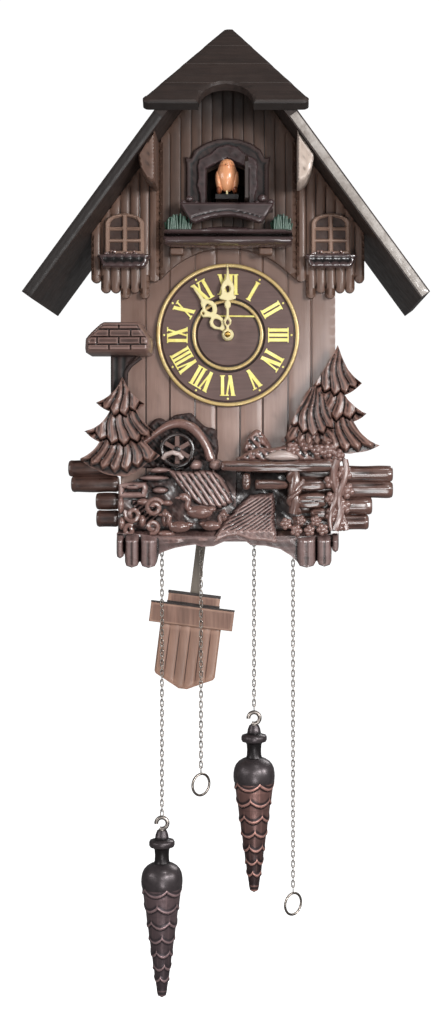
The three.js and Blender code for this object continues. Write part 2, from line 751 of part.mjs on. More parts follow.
function makePines() {
  add("left_pine", slab(pineShape(LEFT_PINE), -129, -141, 4), carvedWood);
  add("right_pine", slab(pineShape(RIGHT_PINE), -129, -141, 4), carvedWood);
}

function makeMill() {
  const roof = new THREE.Shape();
  roof.moveTo(-126, -15.5);
  roof.quadraticCurveTo(-126, -19, -122, -19);
  roof.lineTo(-70, -19);
  roof.quadraticCurveTo(-66.5, -19, -66.5, -15.5);
  roof.lineTo(-66.5, -5);
  roof.lineTo(-77.5, 10.3);
  roof.lineTo(-110, 10.3);
  roof.lineTo(-126, -5);
  const backing = FRONT_FACE - GAP;
  const post = block(-105, -90, -124, backing, -42, -18);
  const shelf = block(-104, -70, -128, backing, -24, -16);
  add("mill_house", joined(slab(roof, backing, -150), post, shelf), carvedWood);

  const centre = { x: -45, z: -103 };
  const hood = new THREE.Shape();
  hood.moveTo(-74, -96);
  hood.bezierCurveTo(-66, -80, -55, -74, -45, -74);
  hood.bezierCurveTo(-30, -74, -14, -92, -11, -113);
  hood.lineTo(-18, -113);
  hood.bezierCurveTo(-21, -96, -32, -82, -45, -82);
  hood.bezierCurveTo(-55, -82, -64, -90, -70, -101);
  add("wheel_arch", slab(hood, backing, -128, 6), carvedWood);

  const rim = lathe([[13, -3], [16, -3], [16, 3], [13, 3], [13, -3]], 24);
  const parts = [rim, pin(0, 0, 3, 5, -4, 12)];
  for (let i = 0; i < 4; i += 1) {
    parts.push(block(-14, 14, -2, 2, -1.2, 1.2).rotateY((i * Math.PI) / 4));
  }
  add("mill_wheel", joined(...parts), carvedWood).position.set(centre.x, -119, centre.z);
}

function makeGround() {
  const ground = new THREE.Shape();
  ground.moveTo(-96, -180);
  ground.lineTo(-96, -134);
  ground.lineTo(-70, -134);
  ground.quadraticCurveTo(-60, -121, -40, -121);
  ground.lineTo(-14, -121);
  ground.quadraticCurveTo(-4, -127, 4, -139);
  ground.lineTo(40, -141);
  ground.quadraticCurveTo(50, -160, 52, -180);
  add("ground_carving", slab(ground, FRONT_FACE - GAP, -141), carvedWood);

  const rails = joined(
    block(-2, 93, -147, -141.4, -125, -113),
    block(24, 50, -147, -141.4, -138, -131),
    block(26, 36, -146, -142, -132, -124),
    block(52, 62, -147, -141.4, -160, -120),
    block(87, 98, -148, -141.4, -174, -111),
    block(84, 111, -146, -142, -140, -128),
  );
  add("fence", rails, carvedWood);

  const base = new THREE.Shape();
  base.moveTo(-97, -181);
  base.lineTo(-97, -196);
  base.quadraticCurveTo(-94, -200, -90, -196);
  base.lineTo(-90, -203);
  base.quadraticCurveTo(-83, -208, -77, -203);
  base.lineTo(-75, -204);
  base.quadraticCurveTo(-68, -209, -61, -199);
  base.bezierCurveTo(-48, -188, -40, -192, -28, -187.5);
  base.bezierCurveTo(-20, -193, -12, -188, -3, -188);
  base.quadraticCurveTo(9, -176, 21, -187);
  base.bezierCurveTo(34, -188, 46, -189, 62, -201.5);
  base.quadraticCurveTo(70, -209, 77, -203);
  base.quadraticCurveTo(85, -209, 92, -203);
  base.lineTo(92, -193);
  base.lineTo(98.5, -193);
  base.lineTo(98.5, -181);
  const shelf = block(-97, 98.5, -140, FRONT_FACE - GAP, -186, -181);
  add("base_board", joined(slab(base, -138, -150, 6), shelf), carvedWood);
}

// Stacked log ends that stand out past both lower corners of the case.
function makeLogs() {
  const y = -119.5;
  const log = (x0, x1, z, radius) => {
    const round = new THREE.CylinderGeometry(radius, radius, Math.abs(x1 - x0), 12);
    return round.rotateZ(Math.PI / 2).translate((x0 + x1) / 2, y, z);
  };
  const left = [
    log(-55, -142, -119.6, 7.4),
    log(-55, -139.5, -133.4, 7.8),
    log(-60, -117.5, -148.8, 8),
    log(-60, -117, -164.3, 8),
  ];
  const right = [
    log(50, 147.5, -124.5, 7.4),
    log(50, 147.5, -138.5, 7.6),
    log(56, 129, -153, 8),
    log(56, 126, -167.5, 7),
  ];
  const clearance = block(-96 - GAP, 52 + GAP, -150, -100, -181, -100);
  add("left_log_stack", cut(joined(...left), clearance), logWood);
  add("right_log_stack", cut(joined(...right), clearance), logWood);
}

makeCase();
makeBackDoor();
makeRoof();
makeUpperWall();
makeWings();
makeWindows();
makeDoorSurround();
makeBirdDoor();
makeBird();
makeDial();
makeHands();
makeMovement();
makeWheels();
makeAnchor();
makePendulum();
makeGong();
makeWhistles();
makeTrains();
makePines();
makeMill();
makeGround();
makeLogs();

export default clock;
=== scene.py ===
import math

import bpy
import numpy as np
from mathutils import Matrix, Vector
from mathutils.geometry import delaunay_2d_cdt


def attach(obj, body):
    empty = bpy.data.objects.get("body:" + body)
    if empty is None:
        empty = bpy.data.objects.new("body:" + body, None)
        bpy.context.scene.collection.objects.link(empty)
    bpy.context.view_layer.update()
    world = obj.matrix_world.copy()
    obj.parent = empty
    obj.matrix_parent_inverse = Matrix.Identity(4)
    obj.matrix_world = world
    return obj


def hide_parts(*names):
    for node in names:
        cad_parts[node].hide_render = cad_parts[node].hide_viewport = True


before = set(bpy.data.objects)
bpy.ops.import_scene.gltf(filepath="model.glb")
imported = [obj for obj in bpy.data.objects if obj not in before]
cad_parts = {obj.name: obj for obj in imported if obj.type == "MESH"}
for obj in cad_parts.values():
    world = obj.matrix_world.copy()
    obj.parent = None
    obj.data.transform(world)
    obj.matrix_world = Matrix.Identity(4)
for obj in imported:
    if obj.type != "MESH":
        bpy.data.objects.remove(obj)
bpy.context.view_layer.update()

# Lengths below are millimetres with heights measured from the dial centre, as in the CAD source.
# The frame is metres with its origin at the hang point, 185 mm above the dial centre.
MM = 0.001
HANG_Z = 185.0

CASE_HALF = 96.6
CASE_BOTTOM = -176.0
FRONT_BACK = -104.0      # the Y of the front panel's two faces
FRONT_FACE = -110.0
PITCH = math.radians(53.8)
SLOPE = math.tan(PITCH)
RIDGE_Z = 273.7
ROOF_BOARD = 9.5
ROOF_GAP = 0.45          # kept free under the roof boards
WALL_TOP = 234.0
ROOF_FRONT = -170.0
HIP_EAVE = (-178.0, 195.5)
HIP_APEX = (-90.0, 283.0)
HIP_HALF = 71.5
WALL_HALF = 61.0
WALL_BACK = -110.35
WALL_FACE = -118.0
WING_FACE = -119.0
WING_HALF = 122.5
GLUE_LINE = 0.35         # between a carving and the boards behind it
ON_WALL = WALL_FACE - GLUE_LINE
ON_WING = WING_FACE - GLUE_LINE
DOOR_HALF = 18.7
DOOR_BOTTOM = 115.0
DOOR_SHOULDER = 147.5
DOOR_PEAK = 156.5
DIAL_FACE = -115.0
DIAL_RADIUS = 64.5
WHEEL_X, WHEEL_Z = -45.0, -103.0
WHEEL_CLEAR = 17.8       # radius kept free around the mill wheel
SHELF_Y = -138.5         # the back of the base board, on the front of its shelf
SHADE_SHEET_Y = -14.0         # a black sheet that closes the case behind the bird's doorway, painted shade for its dark inside
FACING_FRONT = Matrix.Scale(-1, 4, (0, 1, 0))
CHAIN_Y = -75.0
CHAIN_RADIUS = 18.0
SPROCKET_Z = -20.0
TRAIN_X = {"left": -44.0, "right": 41.0}
WEIGHT_TOP = {"left": -440.0, "right": -343.0}
CHAIN_END = {"left": -400.0, "right": -510.0}
PENDULUM_PIVOT = (0.0, -35.0, 30.0)
PENDULUM_SWING = math.radians(7.15)


# ---------------------------------------------------------------- camera
CAMERA_X, CAMERA_Y, CAMERA_Z = 42.3, -1510.0, -113.85
LENS = 54.69
SHIFT = (-0.0537, -0.0488)


def in_scene(name, data):
    """A new object in the scene's collection."""
    obj = bpy.data.objects.new(name, data)
    bpy.context.scene.collection.objects.link(obj)
    return obj


def make_camera():
    data = bpy.data.cameras.new("camera")
    data.sensor_width = 36.0
    data.lens = LENS
    data.shift_x, data.shift_y = SHIFT
    data.clip_start, data.clip_end = 0.05, 50.0
    camera = in_scene("camera", data)
    camera.location = (CAMERA_X * MM, CAMERA_Y * MM, (CAMERA_Z - HANG_Z) * MM)
    camera.rotation_euler = (math.pi / 2, 0, 0)
    bpy.context.scene.camera = camera


make_camera()


# ---------------------------------------------------------------- mesh tools
def to_frame(points):
    """Dial-centred millimetres to the frame's metres."""
    out = np.array(points, float)
    out[:, 2] -= HANG_Z
    return out * MM


def cavity_of(points, faces):
    """How hollow (0) or raised (1) the surface is at each point, from its neighbours."""
    pairs = []
    for size in sorted({len(f) for f in faces}):
        group = np.array([f for f in faces if len(f) == size])
        pairs.append(np.column_stack([group.ravel(), np.roll(group, -1, axis=1).ravel()]))
    pairs = np.unique(np.sort(np.concatenate(pairs), axis=1), axis=0)
    a, b = pairs[:, 0], pairs[:, 1]
    n = len(points)
    count = np.maximum(np.bincount(a, minlength=n) + np.bincount(b, minlength=n), 1)

    def total(values):
        return np.bincount(a, values[b], n) + np.bincount(b, values[a], n)

    def around(values):
        if values.ndim == 1:
            return total(values) / count
        return np.column_stack([total(values[:, k]) / count for k in range(3)])

    first = np.array([f[:3] for f in faces])
    p, q, r = points[first[:, 0]], points[first[:, 1]], points[first[:, 2]]
    facing = np.cross(q - p, r - p)
    normals = np.column_stack([
        sum(np.bincount(first[:, i], facing[:, k], n) for i in range(3)) for k in range(3)
    ])
    normals /= np.maximum(np.linalg.norm(normals, axis=1), 1e-12)[:, None]
    middle = around(points) - points
    length = around(np.linalg.norm(middle, axis=1)) + 0.15
    lift = (middle * normals).sum(1) / length
    wide = lift
    for _ in range(3):
        wide = 0.5 * wide + 0.5 * around(wide)
    return np.clip(0.5 - 0.7 * lift - 0.9 * wide, 0, 1)


def piece(name, shape, material, body="case", smooth=True, sharp=35, stands_for=(), slot="carved_wood"):
    """One visible piece from a shape in dial-centred millimetres, riding on a body."""
    points, faces = np.array(shape.points, float), shape.faces
    mesh = bpy.data.meshes.new(name)
    mesh.from_pydata(to_frame(points).tolist(), [], faces)
    mesh.validate()
    if len(mesh.vertices) == len(points):
        layer = mesh.attributes.new("cavity", "FLOAT", "POINT")
        layer.data.foreach_set("value", cavity_of(points, faces).astype(np.float32))
    mesh.materials.append(material)
    obj = in_scene(name, mesh)
    if smooth:
        mesh.polygons.foreach_set("use_smooth", [True] * len(mesh.polygons))
        mesh.set_sharp_from_angle(angle=math.radians(sharp))
    if stands_for:
        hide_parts(*stands_for)
    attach(obj, body)
    return obj


class Shape:
    """Points and faces gathered from several solids."""

    def __init__(self):
        self.points = []
        self.faces = []

    def add(self, points, faces):
        start = len(self.points)
        self.points += [tuple(map(float, p)) for p in points]
        self.faces += [tuple(int(i) + start for i in f) for f in faces]
        return self

    def take(self, *others):
        for other in others:
            self.add(other.points, other.faces)
        return self

    def turned(self, matrix):
        return Shape().add([tuple(matrix @ Vector(p)) for p in self.points], self.faces)

    def flipped(self):
        return Shape().add(self.points, [f[::-1] for f in self.faces])


def resample(loop, step):
    """The closed loop with points at most step apart, its corners kept."""
    loop = np.array(loop, float)
    out = []
    for a, b in zip(loop, np.roll(loop, -1, axis=0)):
        parts = max(1, int(math.ceil(np.linalg.norm(b - a) / step)))
        out += [a + (b - a) * (k / parts) for k in range(parts)]
    return np.array(out)


def curve(a, b, c, d, parts):
    """Points of a Catmull-Rom curve from b up to, but not at, c."""
    return [0.5 * (2 * b + (c - a) * t + (2 * a - 5 * b + 4 * c - d) * t * t
                   + (3 * b - a - 3 * c + d) * t ** 3) for t in (k / parts for k in range(parts))]


def smooth_loop(points, parts):
    """A closed smooth curve through the points."""
    p = np.array(points, float)
    n = len(p)
    return np.concatenate([curve(p[i - 1], p[i], p[(i + 1) % n], p[(i + 2) % n], parts)
                           for i in range(n)])


def smooth_path(points):
    """A smooth curve through points in space."""
    p = [Vector(q) for q in points]
    p = [p[0], *p, p[-1]]
    return sum((curve(*four, 5) for four in zip(p, p[1:], p[2:], p[3:])), []) + p[-1:]


def arc(cx, cz, r, a0, a1, n=12):
    """Points on an arc, angles in degrees."""
    return [
        (cx + r * math.cos(math.radians(a0 + (a1 - a0) * k / n)),
         cz + r * math.sin(math.radians(a0 + (a1 - a0) * k / n)))
        for k in range(n + 1)
    ]


def mirrored(half):
    """A closed outline from one half of it, whose other half is the same across X = 0."""
    return half + [(-x, z) for x, z in reversed(half) if abs(x) > 1e-6]


def is_inside(points, loops):
    odd = np.zeros(len(points), bool)
    x, z = points[:, 0], points[:, 1]
    for loop in loops:
        for (x0, z0), (x1, z1) in zip(loop, np.roll(loop, -1, axis=0)):
            crosses = (z0 > z) != (z1 > z)
            if crosses.any():
                at = x0 + (z - z0) * (x1 - x0) / (z1 - z0 if z1 != z0 else 1e-9)
                odd ^= crosses & (x < at)
    return odd


def edge_distance(points, loops):
    best = np.full(len(points), 1e9)
    for loop in loops:
        for a, b in zip(loop, np.roll(loop, -1, axis=0)):
            run = b - a
            t = np.clip(((points - a) @ run) / max(run @ run, 1e-12), 0, 1)
            best = np.minimum(best, np.linalg.norm(points - a - t[:, None] * run, axis=1))
    return best


def inner_grid(low, high, step, columns, row_step):
    """Points inside an outline's box: staggered rows, or columns that follow the grooves."""
    if columns is not None:
        rows = np.arange(low[1] + row_step / 2, high[1], row_step)
        return [(x, z) for x in columns for z in rows]
    grid = []
    for i, z in enumerate(np.arange(low[1] + step / 2, high[1], step * 0.866)):
        grid += [(x, z) for x in np.arange(low[0] + step / 2 + (i % 2) * step / 2, high[0], step)]
    return grid


def relief_shape(loops, back, height, step=1.4, columns=None, row_step=None, grid=None, keep=None):
    """A closed solid with a flat back at Y = back whose front stands height(x, z, d) before it.

    d is the distance from the outline. The points inside are a grid of step, or columns of points
    row_step apart, or the grid that is given, and stay keep away from the outline."""
    loops = [np.array(loop, float) for loop in loops]
    fine = [resample(loop, step) for loop in loops]
    if grid is None:
        grid = inner_grid(fine[0].min(0), fine[0].max(0), step, columns, row_step)
    grid = np.array(grid)
    grid = grid[is_inside(grid, fine)]
    if len(grid):
        grid = grid[edge_distance(grid, loops) > (keep or min(0.45 * step, 0.6))]
    flat = np.concatenate([*fine, grid]) if len(grid) else np.concatenate(fine)
    edges = []
    start = 0
    for loop in fine:
        n = len(loop)
        edges += [(start + k, start + (k + 1) % n) for k in range(n)]
        start += n
    found, _, made, *_ = delaunay_2d_cdt([Vector(p) for p in flat], edges, [], 0, 1e-5)
    found = np.array([tuple(p) for p in found])
    made = np.array(made)
    made = made[is_inside(found[made].mean(1), fine)]
    n = len(found)
    thick = height(found[:, 0], found[:, 1], edge_distance(found, loops))
    front = np.column_stack([found[:, 0], back - thick, found[:, 1]])
    rear = np.column_stack([found[:, 0], np.full(n, back), found[:, 1]])
    faces = [tuple(t) for t in made] + [tuple(t + n)[::-1] for t in made]
    rim = dict.fromkeys((t[i], t[(i + 1) % 3]) for t in made for i in range(3))
    faces += [(b, a, a + n, b + n) for a, b in rim if (b, a) not in rim]
    return Shape().add(np.concatenate([front, rear]), faces)


def relief(name, loops, back, height, material, step=1.4, columns=None, row_step=None, **rest):
    shape = relief_shape(loops, back, height, step, columns, row_step)
    return piece(name, shape, material, **rest)


def round_over(d, radius, top):
    """Thickness top, rounded off towards the outline."""
    t = np.clip(d / radius, 0, 1)
    return top - radius + radius * np.sqrt(np.clip(1 - (1 - t) ** 2, 0, 1))


def soft_edge(radius, top, uneven=0.0, size=5.0, seed=0):
    """A height function that is rounded off towards the outline and slightly uneven."""
    return lambda x, z, d: round_over(d, radius, top) + uneven * ripple(x, z, size, seed)


def bump_across(z, centre, half):
    """A round ridge along X."""
    return np.sqrt(np.clip(1 - ((z - centre) / half) ** 2, 0, 1))


def ripple(x, z, size, seed=0):
    """Smooth uneven noise, from -1 to 1, about size millimetres across."""
    u = x / size
    v = z / size
    a = np.sin(1.7 * u + 2.3 * v + seed) + np.sin(2.9 * u - 1.3 * v + 2.1 * seed + 1)
    b = np.sin(-1.1 * u + 3.1 * v + 0.7 * seed + 2) + np.sin(4.3 * u + 3.7 * v + 1.9 * seed)
    return (a + b) / 4


def box_shape(x0, x1, y0, y1, z0, z1):
    points = [(x, y, z) for x in (x0, x1) for y in (y0, y1) for z in (z0, z1)]
    faces = [(0, 1, 3, 2), (4, 6, 7, 5), (0, 4, 5, 1), (2, 3, 7, 6), (0, 2, 6, 4), (1, 5, 7, 3)]
    return Shape().add(points, faces)


def lathe_shape(profile, axis="z", centre=(0, 0, 0), sides=32, wobble=None):
    """A turned solid. profile is (radius, place along the axis), from one end to the other."""
    points = []
    faces = []
    rings = []
    for r, h in profile:
        if r < 1e-6:
            rings.append([len(points)])
            points.append((0, 0, h))
            continue
        ring = []
        for k in range(sides):
            angle = 2 * math.pi * k / sides
            rr = r * (1 if wobble is None else wobble(angle, h))
            ring.append(len(points))
            points.append((rr * math.cos(angle), rr * math.sin(angle), h))
        rings.append(ring)
    for low, high in zip(rings, rings[1:]):
        for k in range(sides):
            a, b = low[k % len(low)], low[(k + 1) % len(low)]
            c, d = high[(k + 1) % len(high)], high[k % len(high)]
            face = [a, b, c, d]
            face = [v for i, v in enumerate(face) if v not in face[:i]]
            if len(face) > 2:
                faces.append(tuple(face))
    rise = profile[-1][1] - profile[0][1]
    if rise < 0:
        faces = [f[::-1] for f in faces]
    turned = []
    for x, y, h in points:
        p = {"z": (x, y, h), "x": (h, x, y), "y": (y, h, x)}[axis]
        turned.append(tuple(c + q for c, q in zip(centre, p)))
    return Shape().add(turned, faces)


def tube_shape(path, radius, sides=8, closed=False):
    """A round wire along the path's points."""
    path = [Vector(p) for p in path]
    n = len(path)
    points = []
    faces = []
    up = None
    for i, p in enumerate(path):
        before = path[i - 1] if closed or i else p
        after = path[(i + 1) % n] if closed or i < n - 1 else p
        along = (after - before).normalized()
        if up is None:
            up = along.orthogonal().normalized()
        up = (up - along * up.dot(along)).normalized()
        side = along.cross(up)
        for k in range(sides):
            angle = 2 * math.pi * k / sides
            points.append(tuple(p + radius * (math.cos(angle) * up + math.sin(angle) * side)))
    for i in range(n if closed else n - 1):
        j = (i + 1) % n
        for k in range(sides):
            m = (k + 1) % sides
            faces.append((i * sides + k, i * sides + m, j * sides + m, j * sides + k))
    if not closed:
        faces.append(tuple(range(sides))[::-1])
        faces.append(tuple((n - 1) * sides + k for k in range(sides)))
    return Shape().add(points, faces)


def ball_shape(centre, radii, sides=20, rings=12):
    profile = [(math.sin(math.pi * k / rings), -math.cos(math.pi * k / rings))
               for k in range(rings + 1)]
    shape = lathe_shape(profile, sides=sides)
    scaled = [(centre[0] + x * radii[0], centre[1] + y * radii[1], centre[2] + z * radii[2])
              for x, y, z in shape.points]
    return Shape().add(scaled, shape.faces)


# ---------------------------------------------------------------- materials
def srgb(r, g, b):
    def linear(c):
        c /= 255
        return c / 12.92 if c <= 0.04045 else ((c + 0.055) / 1.055) ** 2.4
    return (linear(r), linear(g), linear(b), 1.0)


def scaled(colour, k):
    return tuple(min(1.0, c * k) for c in colour[:3]) + (1.0,)


class Nodes:
    """A short way to write a node tree."""

    def __init__(self, name):
        self.material = bpy.data.materials.new(name)
        self.material.use_nodes = True
        self.tree = self.material.node_tree
        self.shader = self.tree.nodes["Principled BSDF"]
        self.place = self.add("ShaderNodeTexCoord").outputs["Object"]

    def add(self, kind, settings=None, **inputs):
        made = self.tree.nodes.new(kind)
        for key, value in (settings or {}).items():
            setattr(made, key, value)
        for key, value in inputs.items():
            self.put(made, key.replace("_", " "), value)
        return made

    def put(self, node, key, value):
        socket = node.inputs[key]
        if isinstance(value, bpy.types.NodeSocket):
            self.tree.links.new(value, socket)
        else:
            socket.default_value = value

    def noise(self, scale, detail, place=None, **inputs):
        made = self.add("ShaderNodeTexNoise", Vector=place or self.place, Scale=scale, Detail=detail,
                        **inputs)
        return made.outputs[0]

    def stretched(self, scale):
        return self.add("ShaderNodeMapping", Vector=self.place, Scale=scale).outputs[0]

    def cavity(self):
        return self.add("ShaderNodeAttribute", {"attribute_name": "cavity"}).outputs["Fac"]

    def along(self, axis):
        return self.add("ShaderNodeSeparateXYZ", Vector=self.place).outputs[axis]

    def mix(self, share, a, b):
        made = self.add("ShaderNodeMix", {"data_type": "RGBA"})
        for i, value in ((0, share), (6, a), (7, b)):
            self.put(made, i, value)
        return made.outputs[2]

    def ramp(self, value, *stops, kind="LINEAR"):
        made = self.add("ShaderNodeMapRange", {"interpolation_type": kind}, Value=value)
        for key, number in zip(("From Min", "From Max", "To Min", "To Max"), stops):
            self.put(made, key, number)
        return made.outputs[0]

    def finish(self, colour, gloss, roughness, height, bump, deep, **inputs):
        """Colour, a roughness that follows the gloss noise, and a bump from the height noise."""
        self.put(self.shader, "Base Color", colour)
        self.put(self.shader, "Roughness", self.ramp(gloss, 0.3, 0.7, *roughness))
        lump = self.add("ShaderNodeBump", Height=height, Strength=bump, Distance=deep)
        self.put(self.shader, "Normal", lump.outputs[0])
        for key, value in inputs.items():
            self.put(self.shader, key.replace("_", " "), value)
        return self.material


GRAIN_STRETCH = {"x": (14, 190, 190), "y": (190, 14, 190), "z": (190, 190, 14)}


def wood(name, base, dark, light, grain="z", carved=True, roughness=0.38, coat=0.35, contrast=1.0,
         shade_depth=None, eave_shade=None):
    """Stained and lacquered wood: grain along one axis, blotchy stain, hollows darkened by stain and
    painted shade, and raised edges lightened by rubbing and a painted highlight.

    shade_depth = (y0, y1) in metres paints shade at the foot of a relief, darkest at y0.
    eave_shade = (z0, z1, tint) paints shade that deepens upwards from z0 to z1, under the eaves."""
    n = Nodes(name)
    base, dark, light = (srgb(*c) for c in (base, dark, light))
    stretch = GRAIN_STRETCH[grain]
    fibre = n.noise(2.2, 7.0, n.stretched(stretch), Roughness=0.62)
    bands = n.noise(2.0, 3.0, n.stretched([0.22 * k for k in stretch]), Distortion=0.6)
    blotch = n.noise(38.0, 2.0)
    colour = n.mix(n.ramp(fibre, 0.3, 0.72, 0.0, contrast), base, scaled(dark, 1.15))
    colour = n.mix(n.ramp(bands, 0.35, 0.7, 0.0, 0.55 * contrast), colour, light)
    colour = n.mix(n.ramp(blotch, 0.4, 0.75, 0.0, 0.35), colour, dark)
    if carved:
        cavity = n.cavity()
        # hollows darker: stain and painted shade; raised edges lighter: rubbed wear and a painted
        # highlight
        colour = n.mix(n.ramp(cavity, 0.2, 0.49, 0.95, 0.0), colour, scaled(dark, 0.3))
        colour = n.mix(n.ramp(cavity, 0.58, 0.9, 0.0, 0.5), colour, scaled(light, 1.15))
    if shade_depth:
        # painted shade: darker towards the foot of a relief, where less light reaches
        recess_shade = n.ramp(n.along("Y"), shade_depth[1], shade_depth[0], 0.0, 0.88, kind="SMOOTHSTEP")
        colour = n.mix(recess_shade, colour, scaled(dark, 0.4))
    if eave_shade:
        # painted shade, deepening from z0 to z1 as under the eaves
        rise = n.ramp(n.along("Z"), eave_shade[0], eave_shade[1], 0.0, 0.8, kind="SMOOTHSTEP")
        colour = n.mix(rise, colour, srgb(*eave_shade[2]))
    return n.finish(colour, n.noise(120.0, 3.0), (roughness - 0.07, roughness + 0.1), fibre, 0.25,
                    0.0004, Coat_Weight=coat, Coat_Roughness=0.16, Specular_IOR_Level=0.4)


def metal(name, base, dark, roughness=0.3, carved=True, metallic=1.0):
    """Metal with fine tarnish, darker in its hollows as painted shade."""
    n = Nodes(name)
    base, dark = srgb(*base), srgb(*dark)
    tarnish = n.noise(160.0, 5.0)
    colour = n.mix(n.ramp(tarnish, 0.4, 0.75, 0.0, 0.6), base, dark)
    if carved:
        # painted shade in the hollows
        colour = n.mix(n.ramp(n.cavity(), 0.15, 0.45, 0.8, 0.0), colour, scaled(dark, 0.4))
    return n.finish(colour, tarnish, (roughness - 0.06, roughness + 0.12), tarnish, 0.12, 0.0002,
                    Metallic=metallic)


def iron(name, base, copper_glint):
    """Dark painted casting with painted shade under its scales, whose raised edges are rubbed coppery and
    carry a painted highlight.
    """
    n = Nodes(name)
    base, copper_glint = srgb(*base), srgb(*copper_glint)
    grit, patch, cavity = n.noise(300.0, 4.0), n.noise(45.0, 2.0), n.cavity()
    colour = n.mix(n.ramp(patch, 0.35, 0.7, 0.0, 0.5), base, scaled(base, 0.55))
    # painted shade under the scales, and on the raised edges a coppery rub with a painted highlight
    colour = n.mix(n.ramp(cavity, 0.2, 0.46, 0.8, 0.0), colour, scaled(base, 0.25))
    colour = n.mix(n.ramp(cavity, 0.54, 0.78, 0.0, 0.85), colour, copper_glint)
    return n.finish(colour, grit, (0.3, 0.5), grit, 0.3, 0.0003, Metallic=0.55)


def plain(name, base, roughness=0.45, coat=0.2, mottle=0.35):
    """A painted or moulded surface with slight unevenness, darker in its hollows as painted shade."""
    n = Nodes(name)
    base = srgb(*base)
    patch = n.noise(220.0, 5.0)
    colour = n.mix(n.ramp(patch, 0.35, 0.75, 0.0, mottle), base, scaled(base, 0.6))
    # painted shade in the hollows
    colour = n.mix(n.ramp(n.cavity(), 0.15, 0.45, 0.6, 0.0), colour, scaled(base, 0.3))
    return n.finish(colour, patch, (roughness - 0.05, roughness + 0.1), patch, 0.15, 0.0003,
                    Coat_Weight=coat, Coat_Roughness=0.15)


ROOF_WOOD = wood("roof_wood", (50, 36, 31), (26, 18, 15), (62, 47, 41), grain="y", carved=False,
                 roughness=0.55, coat=0.05)
# the right roof edge's wood, painted pale as a reflection of the light
REFLECTION_EDGE = wood("reflection_edge", (176, 168, 161), (128, 118, 111), (204, 198, 192), grain="y",
                 carved=False, roughness=0.35, coat=0.5)
# the hip's colour, with painted shade at its eave
HIP_WOOD = wood("hip_wood", (56, 42, 37), (32, 23, 20), (66, 51, 45), grain="x", carved=False,
                roughness=0.55, coat=0.06, eave_shade=(0.0112, 0.0092, (20, 14, 12)))
WALL_WOOD = wood("wall_wood", (92, 67, 56), (40, 28, 23), (118, 90, 76), roughness=0.5, coat=0.15)
# the upper wall's colour, with painted shade deepening towards the top under the hip
UPPER_WOOD = wood("upper_wood", (84, 61, 50), (44, 31, 25), (98, 74, 62), roughness=0.55, coat=0.05,
                  eave_shade=(-0.012, 0.024, (24, 17, 15)))
# the panel's colour, with painted shade darkening it towards the top
PANEL_WOOD = wood("panel_wood", (158, 128, 116), (112, 84, 74), (184, 157, 146), contrast=0.6,
                  eave_shade=(-0.30, -0.11, (104, 76, 62)))
SIDE_WOOD = wood("side_wood", (120, 96, 80), (70, 54, 45), (146, 121, 103), carved=False)
# the carved ground, with painted shade gathering at the foot of its relief
GROUND_WOOD = wood("ground_wood", (116, 87, 83), (38, 23, 21), (174, 143, 136), roughness=0.3, coat=0.7,
                   shade_depth=(-0.121, -0.133))
CARVED = wood("carved_wood", (90, 61, 55), (30, 17, 15), (148, 113, 104), roughness=0.28, coat=1.0)
BASE_WOOD = wood("base_wood", (106, 82, 78), (40, 25, 23), (148, 122, 118), grain="x", roughness=0.27,
                 coat=1.0)
GLOSSY_TRIM = wood("glossy_trim", (66, 50, 49), (26, 18, 17), (86, 68, 68), grain="x", roughness=0.2,
                   coat=1.0)
TRIM_WOOD = wood("trim_wood", (60, 45, 45), (24, 17, 16), (78, 61, 61), grain="x", roughness=0.34,
                 coat=0.5)
BACKING_WOOD = wood("backing_wood", (50, 33, 31), (22, 14, 13), (62, 44, 41), roughness=0.6, coat=0.0)
DOOR_WOOD = wood("door_wood", (60, 47, 43), (30, 24, 22), (76, 62, 56), carved=False)
LOG_WOOD = wood("log_wood", (82, 55, 48), (30, 17, 15), (122, 91, 82), grain="x", roughness=0.28,
                coat=1.0)
# the left stack's copy of the log wood, painted darker as shade
SHADED_LOG = wood("shaded_log", (58, 38, 33), (26, 15, 13), (86, 61, 53), grain="x", roughness=0.34,
                coat=0.7)
DIAL_WOOD = wood("dial_wood", (104, 79, 74), (66, 46, 40), (118, 93, 87), grain="x", contrast=0.6,
                 roughness=0.5, coat=0.08)
PLAIN_WOOD = wood("plain_wood", (150, 122, 106), (98, 74, 60), (178, 148, 128), carved=False)
ROD_WOOD = wood("rod_wood", (132, 120, 108), (92, 80, 70), (156, 146, 134), carved=False)
BOB_WOOD = wood("bob_wood", (156, 118, 102), (90, 60, 48), (186, 148, 128), contrast=0.8,
                roughness=0.45, coat=0.2)
BIRD_WOOD = wood("bird_wood", (232, 140, 92), (150, 78, 44), (252, 180, 134), roughness=0.3, coat=0.5,
                 contrast=0.5)
WING_WOOD = wood("wing_wood", (120, 64, 40), (60, 30, 20), (150, 86, 56), roughness=0.35, coat=0.4)
TILE = wood("tile", (118, 90, 83), (34, 21, 19), (150, 120, 111), grain="x", roughness=0.36, coat=0.4)
FIR_WOOD = wood("fir_wood", (96, 66, 58), (38, 22, 19), (150, 114, 102), roughness=0.42, coat=0.35)
# the right brace's wood, painted pale as a reflection of the light; the left brace is plain brown
REFLECTION_BRACE = wood("reflection_brace", (208, 190, 176), (150, 126, 112), (226, 212, 202), contrast=0.5)
LEFT_BRACE = wood("left_brace", (98, 73, 62), (62, 44, 36), (118, 92, 80), contrast=0.5)
